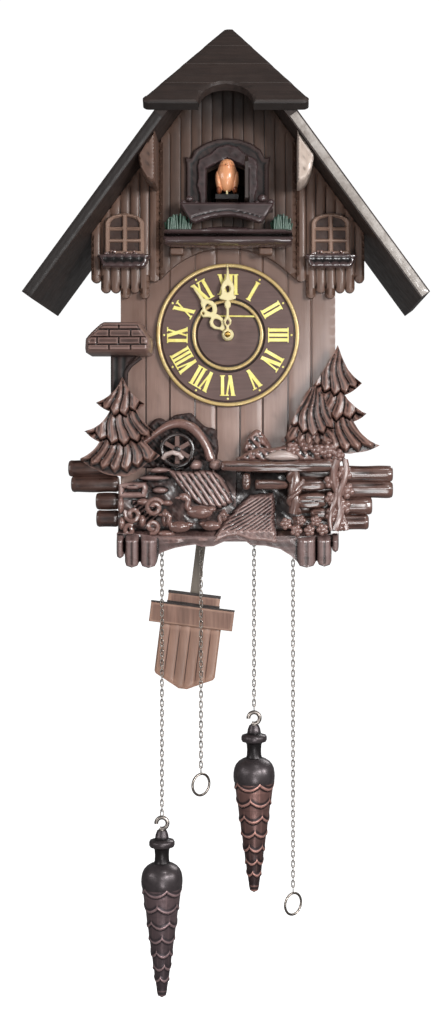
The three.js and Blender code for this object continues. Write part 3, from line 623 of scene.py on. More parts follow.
# carved wood painted pale as a highlight, for the mound and the spray
HIGHLIGHT_CARVED = wood("highlight_carved", (172, 150, 142), (100, 76, 68), (200, 182, 176), roughness=0.3,
                   coat=1.0)
FRAME_WOOD = wood("frame_wood", (138, 108, 92), (80, 58, 47), (160, 130, 114), roughness=0.5, coat=0.1)
GREEN = plain("grass_green", (54, 86, 70), roughness=0.4, coat=0.4)
CREAM = plain("cream", (240, 226, 172), roughness=0.35, coat=0.4, mottle=0.15)
GILT_RING = metal("gilt_ring", (255, 232, 168), (214, 168, 92), roughness=0.28, metallic=0.25)
GOLD = metal("gilt", (255, 246, 150), (226, 200, 84), roughness=0.34, metallic=0.1)
PANE = plain("pane", (62, 38, 28), roughness=0.6, coat=0.0)
BLACK = plain("black", (12, 9, 9), roughness=0.7, coat=0.0)
# the right weight's casting, and the left's copy whose painted highlights are greyer
IRON = iron("cast_iron", (66, 52, 53), (214, 160, 148))
GREY_IRON = iron("grey_iron", (82, 71, 75), (172, 142, 143))
DARK_IRON = metal("dark_iron", (84, 76, 78), (36, 32, 33), roughness=0.32, metallic=0.5)
HOOK_METAL = metal("hook_metal", (160, 152, 146), (72, 66, 62), roughness=0.35)
CHAIN_METAL = metal("chain_metal", (164, 155, 147), (62, 54, 50), roughness=0.26, carved=False)
STEEL = metal("steel", (190, 186, 182), (110, 106, 102), roughness=0.3, carved=False)
BRASS = metal("brass", (212, 174, 96), (140, 104, 48), roughness=0.28, carved=False)


def soften(obj, width, segments=3):
    bevel = obj.modifiers.new("soft_edges", "BEVEL")
    bevel.width = width * MM
    bevel.segments = segments
    bevel.limit_method = "ANGLE"


def finish_cad(node, material, bevel=0.4):
    """A CAD node that stays: its own shape with a better material and softened edges."""
    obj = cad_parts[node]
    obj.data.materials.clear()
    obj.data.materials.append(material)
    soften(obj, bevel, 2)


# ---------------------------------------------------------------- chains and rings
LINK_PITCH = 4.6
LINK_WIRE = 0.5
LINK_HALF = 1.35
RING_RADIUS = 9.8
RING_WIRE = 1.15
RING_DROP = 1.55         # from the last link to the top of the ring's wire
RING_TURN = math.radians(41)


def link_shape(x, z, turned):
    """One open wire link, long in Z, lying in the XZ plane or the YZ plane."""
    straight = LINK_PITCH / 2 - LINK_HALF + 2 * LINK_WIRE
    path = []
    for k in range(14):
        angle = 2 * math.pi * k / 14
        a = LINK_HALF * math.cos(angle)
        b = LINK_HALF * math.sin(angle) + math.copysign(straight, math.sin(angle))
        path.append((x, CHAIN_Y + a, z + b) if turned else (x + a, CHAIN_Y, z + b))
    return tube_shape(path, LINK_WIRE, sides=6, closed=True)


def make_chain(name, body, x, bottom, node):
    """A hanging stretch of links from its sprocket down to what it carries."""
    count = int((SPROCKET_Z - bottom) / LINK_PITCH)
    pitch = (SPROCKET_Z - bottom) / count
    shape = Shape()
    for i in range(count):
        shape.take(link_shape(x, SPROCKET_Z - (i + 0.5) * pitch, i % 2))
    chain = piece(name, shape, CHAIN_METAL, body, stands_for=(node,), slot="chain_steel", sharp=180)


def make_ring(side, x):
    centre = Vector((x, CHAIN_Y, CHAIN_END[side] - RING_RADIUS - RING_DROP))
    path = []
    for k in range(64):
        angle = 2 * math.pi * k / 64
        across = RING_RADIUS * math.cos(angle)
        path.append(centre + Vector((across * math.cos(RING_TURN), across * math.sin(RING_TURN),
                                     RING_RADIUS * math.sin(angle))))
    shape = tube_shape(path, RING_WIRE, sides=12, closed=True)
    return piece(f"{side}_ring", shape, CHAIN_METAL, f"{side}_ring", sharp=180,
                 stands_for=(f"{side}_pull_ring",), slot="chain_steel")


def make_chains():
    for side, x in TRAIN_X.items():
        ring = make_ring(side, x + CHAIN_RADIUS)
        make_chain(f"{side}_weight_links", f"{side}_weight", x - CHAIN_RADIUS, WEIGHT_TOP[side],
                   f"{side}_weight_chain")
        make_chain(f"{side}_ring_links", f"{side}_ring", x + CHAIN_RADIUS, CHAIN_END[side],
                   f"{side}_ring_chain")


make_chains()


# ---------------------------------------------------------------- roof
UNDER_RIDGE = RIDGE_Z - ROOF_BOARD / math.cos(PITCH) - ROOF_GAP
SIDES = (("left", -1), ("right", 1))


def roof_under(x):
    return UNDER_RIDGE - abs(x) * SLOPE


def half_width_under_roof(z):
    return (UNDER_RIDGE - z) / SLOPE


def make_roof():
    for node in ("left_roof_board", "right_roof_board"):
        finish_cad(node, ROOF_WOOD, 0.8)
    for side, sign in SIDES:
        make_roof_edge(side, sign)
    make_hip()
    for side, sign in SIDES:
        make_roof_bracket(side, sign)


def make_roof_edge(side, sign):
    """A beaded face on the front edge of a roof board, from near to far below its top, painted pale as a
    reflection on the right and dark as shade on the left.
    """
    near, far = (1.2, 8.2) if side == "right" else (0.2, 9.0)

    def along(x, depth):
        return (sign * (x - depth * math.sin(PITCH)), RIDGE_Z - x * SLOPE - depth * math.cos(PITCH))

    def bead(x, z, d):
        return 0.25 + 0.5 * np.clip(d / 1.5, 0, 1) + 0.2 * bump_across(d, 2.6, 0.7)

    loop = [along(62.0, near), along(175.6, near), along(175.6, far), along(62.0, far)]
    # painted reflection on the right edge, painted shade on the left
    relief(f"{side}_roof_edge", [loop], ROOF_FRONT - 0.05, bead,
           REFLECTION_EDGE if side == "right" else HIP_WOOD, step=1.6, slot="roof_wood")


def make_hip():
    """The half-hip board: four courses of shingles and an arched notch over the bird's door."""
    up = Vector((0, HIP_APEX[0] - HIP_EAVE[0], HIP_APEX[1] - HIP_EAVE[1]))
    length = up.length
    up.normalize()
    out = Vector((1, 0, 0)).cross(up)
    board = 9.0
    place = Matrix((
        (1, 0, 0, 0),
        (0, -out.y, up.y, HIP_EAVE[0] - board * out.y),
        (0, -out.z, up.z, HIP_EAVE[1] - board * out.z),
        (0, 0, 0, 1),
    ))
    corner = 5.5
    right = [(24, 0)] + arc(HIP_HALF - corner, corner, corner, -90, 36, 8) + [(4, length)]
    left = [(-x, v) for x, v in reversed(right)]
    notch = mirrored([(-23.4, 6), (-22, 14), (-18.5, 21.5), (-13, 27.6), (-6, 30.8), (0, 31.4)])
    courses = 4
    course = length / courses

    def shingles(x, z, d):
        lap = 0.4 * (1 - (z / course) % 1.0)
        eave = 0.8 * bump_across(z, 5.0, 5.0)
        return 8.0 + lap + eave + 0.2 * ripple(x, z, 9) - 1.8 * (1 - np.clip(d / 2.4, 0, 1)) ** 2

    steps = (0.05, 0.4, 2, 5, 8, 12, 18, course - 1, course - 0.3)
    rows = [course * k + step for k in range(courses) for step in steps]
    grid = [(x, z) for z in rows for x in np.arange(-HIP_HALF, HIP_HALF, 2.5)]
    hip = relief_shape([right + left + notch], 0.0, shingles, 2.5, grid=grid, keep=0.8).turned(place)
    piece("hip_shingles", hip, HIP_WOOD, stands_for=("front_hip_roof",), slot="roof_wood")


def make_roof_bracket(side, sign):
    """A thick knee brace between the centre wall and the roof; the right one is painted pale as a
    reflection of the light.
    """
    inner, outer = WALL_HALF + 0.8, 76.0
    loop = [(inner, roof_under(inner)), (outer, roof_under(outer)), (outer, 150), (outer - 1.4, 143),
            (outer - 4, 136), (outer - 7, 131.5), (inner + 3, 129), (inner, 128.5)]
    # the right brace takes the pale painted reflection
    relief(f"{side}_roof_bracket", [[(sign * x, z) for x, z in loop]], ON_WING,
           soft_edge(2.2, 46.6, 0.12), REFLECTION_BRACE if side == "right" else LEFT_BRACE, step=1.8,
           stands_for=(f"{side}_knee_brace",))


make_roof()


# ---------------------------------------------------------------- boarded walls
def board_columns(edges, marks=(0.02, 0.07, 0.16, 0.32, 0.5, 0.68, 0.84, 0.93, 0.98)):
    return [a + (b - a) * t for a, b in zip(edges, edges[1:]) for t in marks]


def reeds(edges, base, bulge, groove):
    """Rounded upright boards between the edges, with a dark groove at each edge."""
    edges = np.array(edges)

    def height(x, z, d):
        i = np.clip(np.searchsorted(edges, x) - 1, 0, len(edges) - 2)
        t = np.clip((x - edges[i]) / (edges[i + 1] - edges[i]), 0, 1)
        crown = np.sqrt(np.clip(1 - (2 * t - 1) ** 2, 0, 1))
        lift = 0.25 * np.sin(7.1 * i + 0.4)
        gap = groove * np.clip(1 - crown / 0.35, 0, 1)
        return base + lift + bulge * crown - gap - 0.8 * np.clip(1 - d / 1.0, 0, 1)

    return height


def doorway(bottom=DOOR_BOTTOM):
    return [(-DOOR_HALF, bottom), (DOOR_HALF, bottom), (DOOR_HALF, DOOR_SHOULDER), (0, DOOR_PEAK),
            (-DOOR_HALF, DOOR_SHOULDER)]


def make_panel():
    """The front panel: nine boards of uneven width, pierced by the doorway and the arbor hole."""
    half = CASE_HALF
    cap = half_width_under_roof(WALL_TOP)
    gable = [(-half, CASE_BOTTOM), (half, CASE_BOTTOM), (half, roof_under(half)), (cap, WALL_TOP),
             (-cap, WALL_TOP), (-half, roof_under(half))]
    grooves = [-half, -73.9, -52.4, -29.7, -10.5, 10.8, 31.3, 54.0, 75.0, half]
    marks = (0.02, 0.05, 0.09, 0.3, 0.5, 0.7, 0.91, 0.95, 0.98)

    def panel(x, z, d):
        near = np.abs(x[:, None] - np.array(grooves)[None, 1:-1]).min(1)
        cut = 1.5 * np.clip(1 - near / 1.1, 0, 1)
        return FRONT_BACK - FRONT_FACE - cut - 0.5 * np.clip(1 - d / 0.8, 0, 1) + 0.04 * ripple(x, z,
                                                                                                12)

    relief("panel_boards", [gable, doorway(), arc(0, 0, 7, 0, 345, 23)], FRONT_BACK, panel, PANEL_WOOD,
           step=3.0, columns=board_columns(grooves, marks), row_step=9.0, stands_for=("front_panel",),
           slot="panel_wood")


def make_upper_wall():
    cap = half_width_under_roof(WALL_TOP)
    foot, around = 50, 78
    wall = [(WALL_HALF, foot), (WALL_HALF, roof_under(WALL_HALF)), (cap, WALL_TOP), (-cap, WALL_TOP),
            (-WALL_HALF, roof_under(WALL_HALF)), (-WALL_HALF, foot)]
    reach = math.degrees(math.acos(foot / around))
    wall += arc(0, 0, around, 90 + reach, 90 - reach, 30)[:-1]
    edges = np.linspace(-WALL_HALF, WALL_HALF, 14)
    relief("upper_wall_boards", [wall, doorway()], WALL_BACK, reeds(edges, 6.6, 0.7, 1.0), UPPER_WOOD,
           step=2.2, columns=board_columns(edges), row_step=7.0, stands_for=("upper_wall",),
           slot="wall_wood")


def make_wings():
    """Reeded boards at both sides, each with a rounded lower end."""
    bottoms = [52, 37, 42, 37, 42, 42, 51]
    inner = WALL_HALF + GLUE_LINE
    edges = np.linspace(inner, WING_HALF, len(bottoms) + 1)
    wing = [(inner, roof_under(inner))]
    for low, a, b in zip(bottoms, edges, edges[1:]):
        wing += [(a + 0.01, low)] + arc((a + b) / 2, low, (b - a) / 2 - 0.01, 180, 360, 8)[1:]
    wing += [(WING_HALF, roof_under(WING_HALF))]
    for side, sign in SIDES:
        places = sorted(sign * e for e in edges)
        relief(f"{side}_wing_boards", [[(sign * x, z) for x, z in wing]], WALL_BACK,
               reeds(places, 6.4, 2.0, 1.2), WALL_WOOD, step=1.5, columns=board_columns(places),
               row_step=6.0, stands_for=(f"{side}_wing",), slot="wall_wood")


def make_walls():
    make_panel()
    make_upper_wall()
    make_wings()
    for node in ("left_side_board", "right_side_board", "bottom_board"):
        finish_cad(node, SIDE_WOOD)
    for node in ("back_panel", "back_door"):
        finish_cad(node, PLAIN_WOOD)


make_walls()


# ---------------------------------------------------------------- windows, balcony, planter, bird
PETALS = 5


def flower(x, y, z, r, turn):
    """A small carved blossom standing forward of Y = y."""
    loop = []
    for k in range(PETALS * 6):
        angle = 2 * math.pi * k / (PETALS * 6) + turn
        rr = r * (0.78 + 0.22 * math.cos(PETALS * (angle - turn)))
        loop.append((x + rr * math.cos(angle), z + rr * math.sin(angle)))

    def height(px, pz, d):
        out = np.hypot(px - x, pz - z) / r
        angle = np.arctan2(pz - z, px - x) - turn
        crown = 0.45 * r * np.cos(np.clip(out, 0, 1) * 1.2)
        eye = 0.3 * r * np.exp(-((out - 0.3) / 0.1) ** 2)
        return 0.2 * r + crown * (0.75 + 0.25 * np.cos(PETALS * angle)) - eye

    return relief_shape([loop], y, height, step=r / 3.5)


WINDOW_X = 92.0
WINDOW_HALF = 17.5
SILL, SPRING, CROWN = 71.0, 99.0, 108.0


def make_windows():
    for side, sign in SIDES:
        make_window(side, sign * WINDOW_X)
        make_flower_box(side, sign * WINDOW_X)


def make_window(side, x):
    """An arched frame with six panes and the dark glass behind them."""
    half = WINDOW_HALF
    arch = [(x - half, SILL), (x + half, SILL), (x + half, SPRING)]
    arch += [(x + half * math.cos(a), SPRING + (CROWN - SPRING) * math.sin(a))
             for a in np.linspace(0.15, math.pi - 0.15, 15)]
    arch += [(x - half, SPRING)]
    holes = []
    for sign in (-1, 1):
        near, far = x + sign * 2.2, x + sign * (half - 4.2)
        for row in range(3):
            low = SILL + 3.6 + row * 10.6
            pane = [(near, low), (far, low), (far, low + 7.6), (near, low + 7.6)]
            if row == 2:
                pane[2:] = [(far - sign * 0.8, low + 4.6), (far - sign * 3.6, low + 7.4),
                            (near, low + 9.4)]
            holes.append(pane)
    relief(f"{side}_window_frame", [arch, *holes], ON_WING, soft_edge(1.6, 4.6), FRAME_WOOD, step=1.3,
           stands_for=(f"{side}_window",))
    inset = [(px * 0.96 + x * 0.04, pz * 0.985 + 1.3) for px, pz in arch]
    relief(f"{side}_window_panes", [inset], ON_WING, lambda px, pz, d: 1.2 + 0.15 * ripple(px, pz, 4),
           PANE, step=2.0)


def make_flower_box(side, x):
    def trough(px, pz, d):
        lap = 0.9 * np.cos((pz - 59) / 14 * 2 * math.pi)
        scallop = 0.25 * np.abs(np.sin((px - x) * 0.42))
        return round_over(d, 3.0, 12.0) + lap * np.clip(d / 3, 0, 1) + scallop

    box = [(x - 19.0, 60.5), (x - 16, 58.8), (x + 16, 58.8), (x + 19.0, 60.5), (x + 21, 66),
           (x + 20.5, 71), (x - 20.5, 71), (x - 21, 66)]
    relief(f"{side}_flower_box", [smooth_loop(box, 4)], ON_WING, trough, GLOSSY_TRIM, step=1.2)
    blooms = Shape()
    for k in range(6):
        dx = -15 + 6 * k + 0.8 * math.sin(4 * k)
        high = 70.5 + 1.3 * math.sin(2.1 * k)
        blooms.take(flower(x + dx, WING_FACE - 6.5, high, 3.3 + 0.5 * math.sin(k), k))
    piece(f"{side}_box_flowers", blooms, CARVED)


def make_doorway():
    """The arched backing, the gabled frame and the black sheet of painted shade behind the bird's door.
    """
    foot, half = 114.4, 37.0
    opening = [(-DOOR_HALF, foot), (-DOOR_HALF, DOOR_SHOULDER), (0, DOOR_PEAK),
               (DOOR_HALF, DOOR_SHOULDER), (DOOR_HALF, foot)]
    # both outlines run from the right foot over the top to the left foot
    arch = mirrored([(half, foot), (half, 150), (38.5, 159), (33, 157.5), (29.5, 165), (21, 170.5),
                     (11, 174.2), (0, 175.3)])
    gable = mirrored([(24.5, foot), (25.0, 124), (27.5, 133), (26.4, 141), (27.2, 150), (25.5, 156),
                      (15, 161.5), (9, 167), (0, 169.5)])

    def backing(x, z, d):
        panel = 0.8 * np.clip((d - 3.4) / 0.8, 0, 1)
        return round_over(d, 1.6, 4.0) - panel + 0.15 * ripple(x, z, 5)

    relief("door_backing", [arch[-1:] + opening + arch[:-1]], ON_WALL, backing, BACKING_WOOD, step=1.5,
           stands_for=("door_surround",), slot="wall_wood")
    relief("door_frame", [opening + gable], WALL_FACE - 3.4, soft_edge(1.5, 3.5, 0.12, 4), TRIM_WOOD,
           step=1.3, slot="wall_wood")
    # a black sheet far behind the doorway: painted shade for the case's inside
    relief("dark_inside", [doorway(DOOR_BOTTOM - 0.5)], SHADE_SHEET_Y, lambda x, z, d: np.ones(len(x)),
           BLACK, step=4, slot="plain_wood")


APRON_Y = -139.5


def make_balcony():
    """The floor before the bird's door with its carved apron and the berries at both ends."""
    sag = 6.5
    apron = [(-41.5, 114), (-40, 110), (-36, 104), (-31, 97), (-28, 96)]
    apron += [(x, 96 + sag * math.cos(x / 28 * math.pi / 2)) for x in np.linspace(-24, 24, 13)]
    apron += [(-x, z) for x, z in reversed(apron[:5])]

    def carved_apron(x, z, d):
        line = np.abs(z - 99.5 - 7.0 * np.cos(np.clip(x, -34, 34) / 34 * 1.57))
        return round_over(d, 1.8, 6.6) - 0.9 * np.clip(1 - line / 0.9, 0, 1) * np.clip(d / 2, 0, 1)

    front = relief_shape([apron], APRON_Y, carved_apron, step=1.3)
    front.take(box_shape(-40.5, 40.5, APRON_Y - 0.5, ON_WALL, 109.5, 113.8))
    piece("balcony_carving", front, TRIM_WOOD, stands_for=("balcony",))
    knobs = Shape()
    for x, z, r in ((31, 119.5, 4.2), (38.5, 116, 3.6), (36, 111.5, 2.4), (-33, 119, 3.4),
                    (-38.5, 115.5, 3.2), (26.5, 115.5, 2.4), (-27, 115.5, 2.4)):
        knobs.take(ball_shape((x, APRON_Y, z - 1.2), (r, 3.6, 0.85 * r), 18, 12))
    piece("balcony_knobs", knobs, TRIM_WOOD)


def make_planter():
    """A trough of two rolls over the dial, with grass at both ends and two brackets under it."""
    trough = [(-55, 79), (-52, 77), (53, 77), (57, 79), (58, 84), (57, 91)]
    trough += [(x, 91.6 + 3.2 * math.exp(-(x / 17) ** 4)) for x in np.linspace(48, -48, 25)]
    trough += [(-55, 91), (-56, 84)]

    def rolls(x, z, d):
        upper = bump_across(z, 90.2, 3.6)
        lower = bump_across(z, 81.8, 4.4)
        twist = 0.3 * np.sin(0.12 * x + 0.5 * z)
        return np.minimum(round_over(d, 3.0, 24), 15
                          + 8.5 * np.maximum(upper, lower)) + twist * np.clip(d / 3, 0, 1)

    relief("planter_trough", [trough], ON_WALL, rolls, GLOSSY_TRIM, step=1.5, stands_for=("planter",))
    blades = 60
    for side, x0, x1 in (("left", -54, -33), ("right", 40, 56)):
        tuft = Shape()
        for k in range(blades):
            share = (k + 0.5) / blades
            x = x0 + (x1 - x0) * share + 0.5 * math.sin(5 * k)
            y = -126 - 3 * (k % 5)
            lean = 1.6 * math.sin(2.3 * k)
            tip = 96.5 + 7.5 * math.sin(math.pi * share) ** 0.6 + 1.2 * math.sin(1.7 * k)
            path = [(x, y, 88), (x + 0.3 * lean, y - 0.4, 93), (x + lean, y - 0.8, tip)]
            tuft.take(tube_shape(path, 0.9, 5))
        piece(f"{side}_grass", tuft, GREEN)
    brackets = Shape()
    for x in (-45, 34):
        brackets.take(box_shape(x - 6, x + 6, WALL_FACE - 10, FRONT_FACE - 1.0, 70.5, 76.8))
    soften(piece("planter_brackets", brackets, WALL_WOOD), 1.5)


BIRD_Y = -135.0


def make_bird():
    profile = [(0, -13.2), (2.4, -12.8), (5.0, -11.0), (7.4, -7.5), (8.8, -3.0), (9.2, 1.0), (8.9, 4.4),
               (8.1, 7.2), (7.3, 9.2), (6.8, 11.0), (6.0, 12.8), (4.6, 14.5), (2.5, 15.6), (0, 16)]
    body = lathe_shape(profile, sides=40, centre=(0, BIRD_Y, 138))
    tips = Shape()
    eyes = Shape()
    for sign in (-1, 1):
        lean = Matrix.Translation((sign * 7.2, BIRD_Y + 0.5, 134.0))
        lean = lean @ Matrix.Rotation(math.radians(sign * 8), 4, "Y")
        body.take(ball_shape((0, 0, 0), (3.0, 6.8, 9.6), 20, 14).turned(lean))
        tips.take(ball_shape((sign * 7.0, BIRD_Y - 0.5, 126.8), (2.2, 5.2, 4.4), 16, 10))
        eyes.take(ball_shape((sign * 3.9, BIRD_Y - 4.7, 149.4), (0.7, 0.6, 0.7), 12, 8))
    beak = lathe_shape([(0, 0), (1.9, 0.2), (1.5, 2.2), (0.7, 3.6), (0, 4)], axis="y", sides=14)
    body.take(beak.turned(Matrix.Translation((0, BIRD_Y - 5, 147.6)) @ FACING_FRONT).flipped())
    piece("carved_bird", body, BIRD_WOOD, "bird", sharp=60, stands_for=("bird",), slot="bird_wood")
    tips.take(ball_shape((0, BIRD_Y + 8, 130), (3.6, 8, 1.8), 16, 10))
    piece("bird_wing_tips", tips, WING_WOOD, "bird", slot="bird_wood")
    leg = lathe_shape([(0, 121.2), (1.3, 121.4), (1.0, 123), (1.0, 126), (1.5, 127.6), (0, 127.8)],
                      centre=(0, BIRD_Y - 2, 0), sides=14)
    piece("bird_leg", leg, CREAM, "bird", slot="bird_wood")
    piece("bird_eyes", eyes, BLACK, "bird", slot="bird_wood")


def make_bird_house():
    make_doorway()
    make_balcony()
    make_planter()
    finish_cad("bird_door", DOOR_WOOD, 0.5)
    finish_cad("bird_arm", TRIM_WOOD, 0.4)
    make_bird()


make_windows()
make_bird_house()


# ---------------------------------------------------------------- dial and hands
NUMERALS = ["XII", "I", "II", "III", "IV", "V", "VI", "VII", "VIII", "IX", "X", "XI"]
GLYPH_WIDTH = {"I": 4.4, "V": 9.6, "X": 9.8}
DIGIT_LOW, DIGIT_HIGH = 36.0, 54.6
DOT_RADIUS = 57.2
SERIF = 1.1
STROKE_BEVEL = 0.28


def stroke(u0, v0, u1, v1, wide, y0, y1):
    """One straight stroke of a numeral from (u0, v0) to (u1, v1), with flat level ends."""
    corners = [(u0 - wide / 2, v0), (u0 + wide / 2, v0), (u1 + wide / 2, v1), (u1 - wide / 2, v1)]
    points = []
    for y, shrink in ((y0, 0.0), (y1 + STROKE_BEVEL, 0.0), (y1, STROKE_BEVEL)):
        for i, (u, v) in enumerate(corners):
            du = shrink if i in (0, 3) else -shrink
            dv = shrink if i in (0, 1) else -shrink
            points.append((u + du, y, v + dv))
    faces = [(8, 9, 10, 11), (3, 2, 1, 0)]
    for layer in (0, 4):
        for i in range(4):
            a, b = layer + i, layer + (i + 1) % 4
            faces.append((a, b, b + 4, a + 4))
    return Shape().add(points, faces)


def numeral(text, hour):
    """An hour's letters, upright at twelve and turned to their place."""
    scale = 0.86 if len(text) > 3 else 1.0
    low, high = DIGIT_LOW, DIGIT_HIGH
    y0, y1 = DIAL_FACE + 0.3, DIAL_FACE - 0.9
    out = Shape()
    u = -sum(GLYPH_WIDTH[c] for c in text) * scale / 2
    for c in text:
        wide = GLYPH_WIDTH[c] * scale
        mid = u + wide / 2
        u += wide
        # strokes as (foot, head, width, lift); serifs as (place, foot, width)
        if c == "I":
            strokes = [(mid, mid, 3.0, 0)]
            serifs = [(mid, low, 4.6), (mid, high - SERIF, 4.6)]
        elif c == "V":
            foot = mid + 0.3
            strokes = [(foot, mid - wide * 0.27, 3.3, 0), (foot, mid + wide * 0.33, 1.7, 0.05)]
            serifs = [(mid + k * wide, high - SERIF, 4.2) for k in (-0.27, 0.33)]
        else:
            far = wide * 0.3
            strokes = [(mid + far, mid - far, 3.3, 0), (mid - far, mid + far, 1.7, 0.05)]
            serifs = [(mid + k * far, v, 4.0) for v in (low, high - SERIF) for k in (-1, 1)]
        for foot, head, thick, lift in strokes:
            out.take(stroke(foot, low, head, high, thick * scale, y0, y1 + lift))
        for place, v, thick in serifs:
            out.take(stroke(place, v, place, v + SERIF, thick * scale, y0, y1 + 0.1))
    return out.turned(Matrix.Rotation(math.radians(30 * hour), 4, "Y"))


def swept_ring(section, sides):
    """A closed section of (radius, Y) carried once around the Y axis."""
    n = len(section)
    points = []
    faces = []
    for k in range(sides):
        a = 2 * math.pi * k / sides
        m = (k + 1) % sides
        points += [(r * math.sin(a), y, r * math.cos(a)) for r, y in section]
        faces += [(k * n + i, k * n + (i + 1) % n, m * n + (i + 1) % n, m * n + i) for i in range(n)]
    return Shape().add(points, faces)


def ring_shape(r0, r1, y0, y1, sides=128):
    """A flat ring with a rounded face, standing from y0 to y1."""
    mid, half = (r0 + r1) / 2, (r1 - r0) / 2
    section = [(r0, y0), (r0, y1 + 0.5)]
    section += [(mid + half * math.cos(a), y1 + 0.5 - 0.5 * math.sin(a))
                for a in np.linspace(math.pi, 0, 7)[1:-1]]
    section += [(r1, y1 + 0.5), (r1, y0)]
    return swept_ring(section, sides)


def make_dial():
    """A turned disc with two raised bands, their rings, and the gilt marks between them."""
    lip, f = DIAL_RADIUS - 0.6, DIAL_FACE
    profile = [(5.5, WALL_BACK), (DIAL_RADIUS, WALL_BACK), (DIAL_RADIUS, f + 1.6), (lip, f + 1.2),
               (60.3, f + 1.2), (59.6, f + 1.0), (58.9, f), (58.3, f), (34.6, f), (34.0, f),
               (33.3, f + 1.0), (32.2, f + 1.2), (28.4, f + 1.2), (27.6, f + 1.0), (26.9, f + 0.1),
               (26.2, f + 0.1), (12, f + 0.4), (5.5, f + 0.4)]
    piece("dial_disc", swept_ring(profile, 96), DIAL_WOOD, stands_for=("dial",), slot="dial_wood")
    for name, r0, r1 in (("outer_ring", 60.9, 64.0), ("inner_ring", 29.0, 31.8)):
        piece(name, ring_shape(r0, r1, f + 1.0, f - 1.3), GILT_RING, slot="dial_wood")
    marks = Shape()
    dots = Shape()
    for hour, text in enumerate(NUMERALS):
        marks.take(numeral(text, hour))
        a = math.radians(30 * hour)
        spot = (DOT_RADIUS * math.sin(a), f - 0.05, DOT_RADIUS * math.cos(a))
        dots.take(ball_shape(spot, (1.0, 0.6, 1.0), 12, 8))
    piece("numerals", marks, GOLD, smooth=False, slot="dial_wood")
    dots.take(tube_shape([(-11, f - 0.2, 17), (8, f - 0.2, 16.9), (25.5, f - 0.2, 16.7)], 0.8, 8))
    piece("dial_marks", dots, GOLD, slot="dial_wood")


rounded_blade = soft_edge(0.9, 1.3)


def make_minute_hand():
    hub = arc(0, 0, 4.6, 90 + 20, 360 + 90 - 20, 22)
    half = [(-1.5, 4.5), (-1.2, 7), (-3.2, 9.5), (-3.6, 12.5), (-1.8, 15.5), (-1.2, 18), (-1.3, 23),
            (-2.8, 25), (-2.9, 28), (-1.4, 30), (-7.2, 31.6), (-7.6, 34), (-5.8, 35.4), (-5.6, 38),
            (-6.4, 41.5), (-5.0, 45.5), (-2.0, 49.5), (-1.3, 54), (-0.6, 60), (0, 63)]
    hole = smooth_loop([(0, 37.4), (2.0, 39.2), (2.0, 41.6), (0, 43.6), (-2.0, 41.6), (-2.0, 39.2)], 3)
    small = smooth_loop([(0, 8.6), (1.6, 10.4), (0, 13.4), (-1.6, 10.4)], 4)
    relief("minute_blade", [mirrored(half) + hub, hole, small, arc(0, 0, 2.0, 0, 330, 11)],
           DIAL_FACE - 6.9, rounded_blade, CREAM, step=0.8, body="minute_hand",
           stands_for=("minute_hand",), slot="cream_plastic")
    nut = lathe_shape([(0, 0), (2.8, 0), (2.9, 1.0), (2.2, 1.8), (1.5, 2.2), (1.4, 3.4), (1.0, 3.8),
                       (0, 3.8)], axis="y", sides=6)
    nut = nut.turned(Matrix.Translation((0, DIAL_FACE - 7.9, 0)) @ FACING_FRONT).flipped()
    piece("hand_nut", nut, BRASS, "minute_hand", slot="brass")


def make_hour_hand():
    hub = arc(0, 0, 5.4, 90 + 20, 360 + 90 - 20, 24)
    outline = [(-1.8, 5.2), (-3.4, 8), (-6.6, 11), (-8.0, 15), (-6.6, 19), (-3.2, 21), (-4.6, 22.6),
               (-8.6, 25.4), (-9.4, 29), (-7.0, 31.5), (-4.6, 31.8), (-4.0, 35), (-1.8, 38.5),
               (-1.2, 44), (-0.9, 50), (0, 55), (0.9, 50), (1.2, 44), (1.8, 38.5), (4.4, 35), (6.8, 32),
               (7.4, 27.5), (5.6, 23.5), (2.8, 21), (4.4, 18), (5.0, 14), (3.8, 10), (1.8, 7),
               (1.6, 5.2)]
    hole = smooth_loop([(0, 24.8), (2.6, 27), (3.0, 30), (1.2, 33), (-1.4, 32), (-2.6, 29)], 3)
    small = smooth_loop([(-1.6, 9.6), (1.2, 11.4), (1.6, 15), (-1, 18), (-4.0, 16.6), (-4.2, 12.6)], 3)
    bead = smooth_loop([(-6.6, 27), (-5.4, 28.4), (-6.6, 29.8), (-7.8, 28.4)], 3)
    blade = relief_shape([outline + hub, hole, small, bead, arc(0, 0, 2.7, 0, 330, 11)],
                         DIAL_FACE - 3.9, rounded_blade, step=0.8)
    blade = blade.turned(Matrix.Rotation(math.radians(-36), 4, "Y"))
    pipe = lathe_shape([(0, -99.2), (4, -99), (4, DIAL_FACE - 4.4), (0, DIAL_FACE - 4.4)], axis="y",
                       sides=20)
    blade.take(pipe.flipped())
    piece("hour_blade", blade, CREAM, "hour_hand", stands_for=("hour_hand",), slot="cream_plastic")


make_dial()
make_minute_hand()
make_hour_hand()


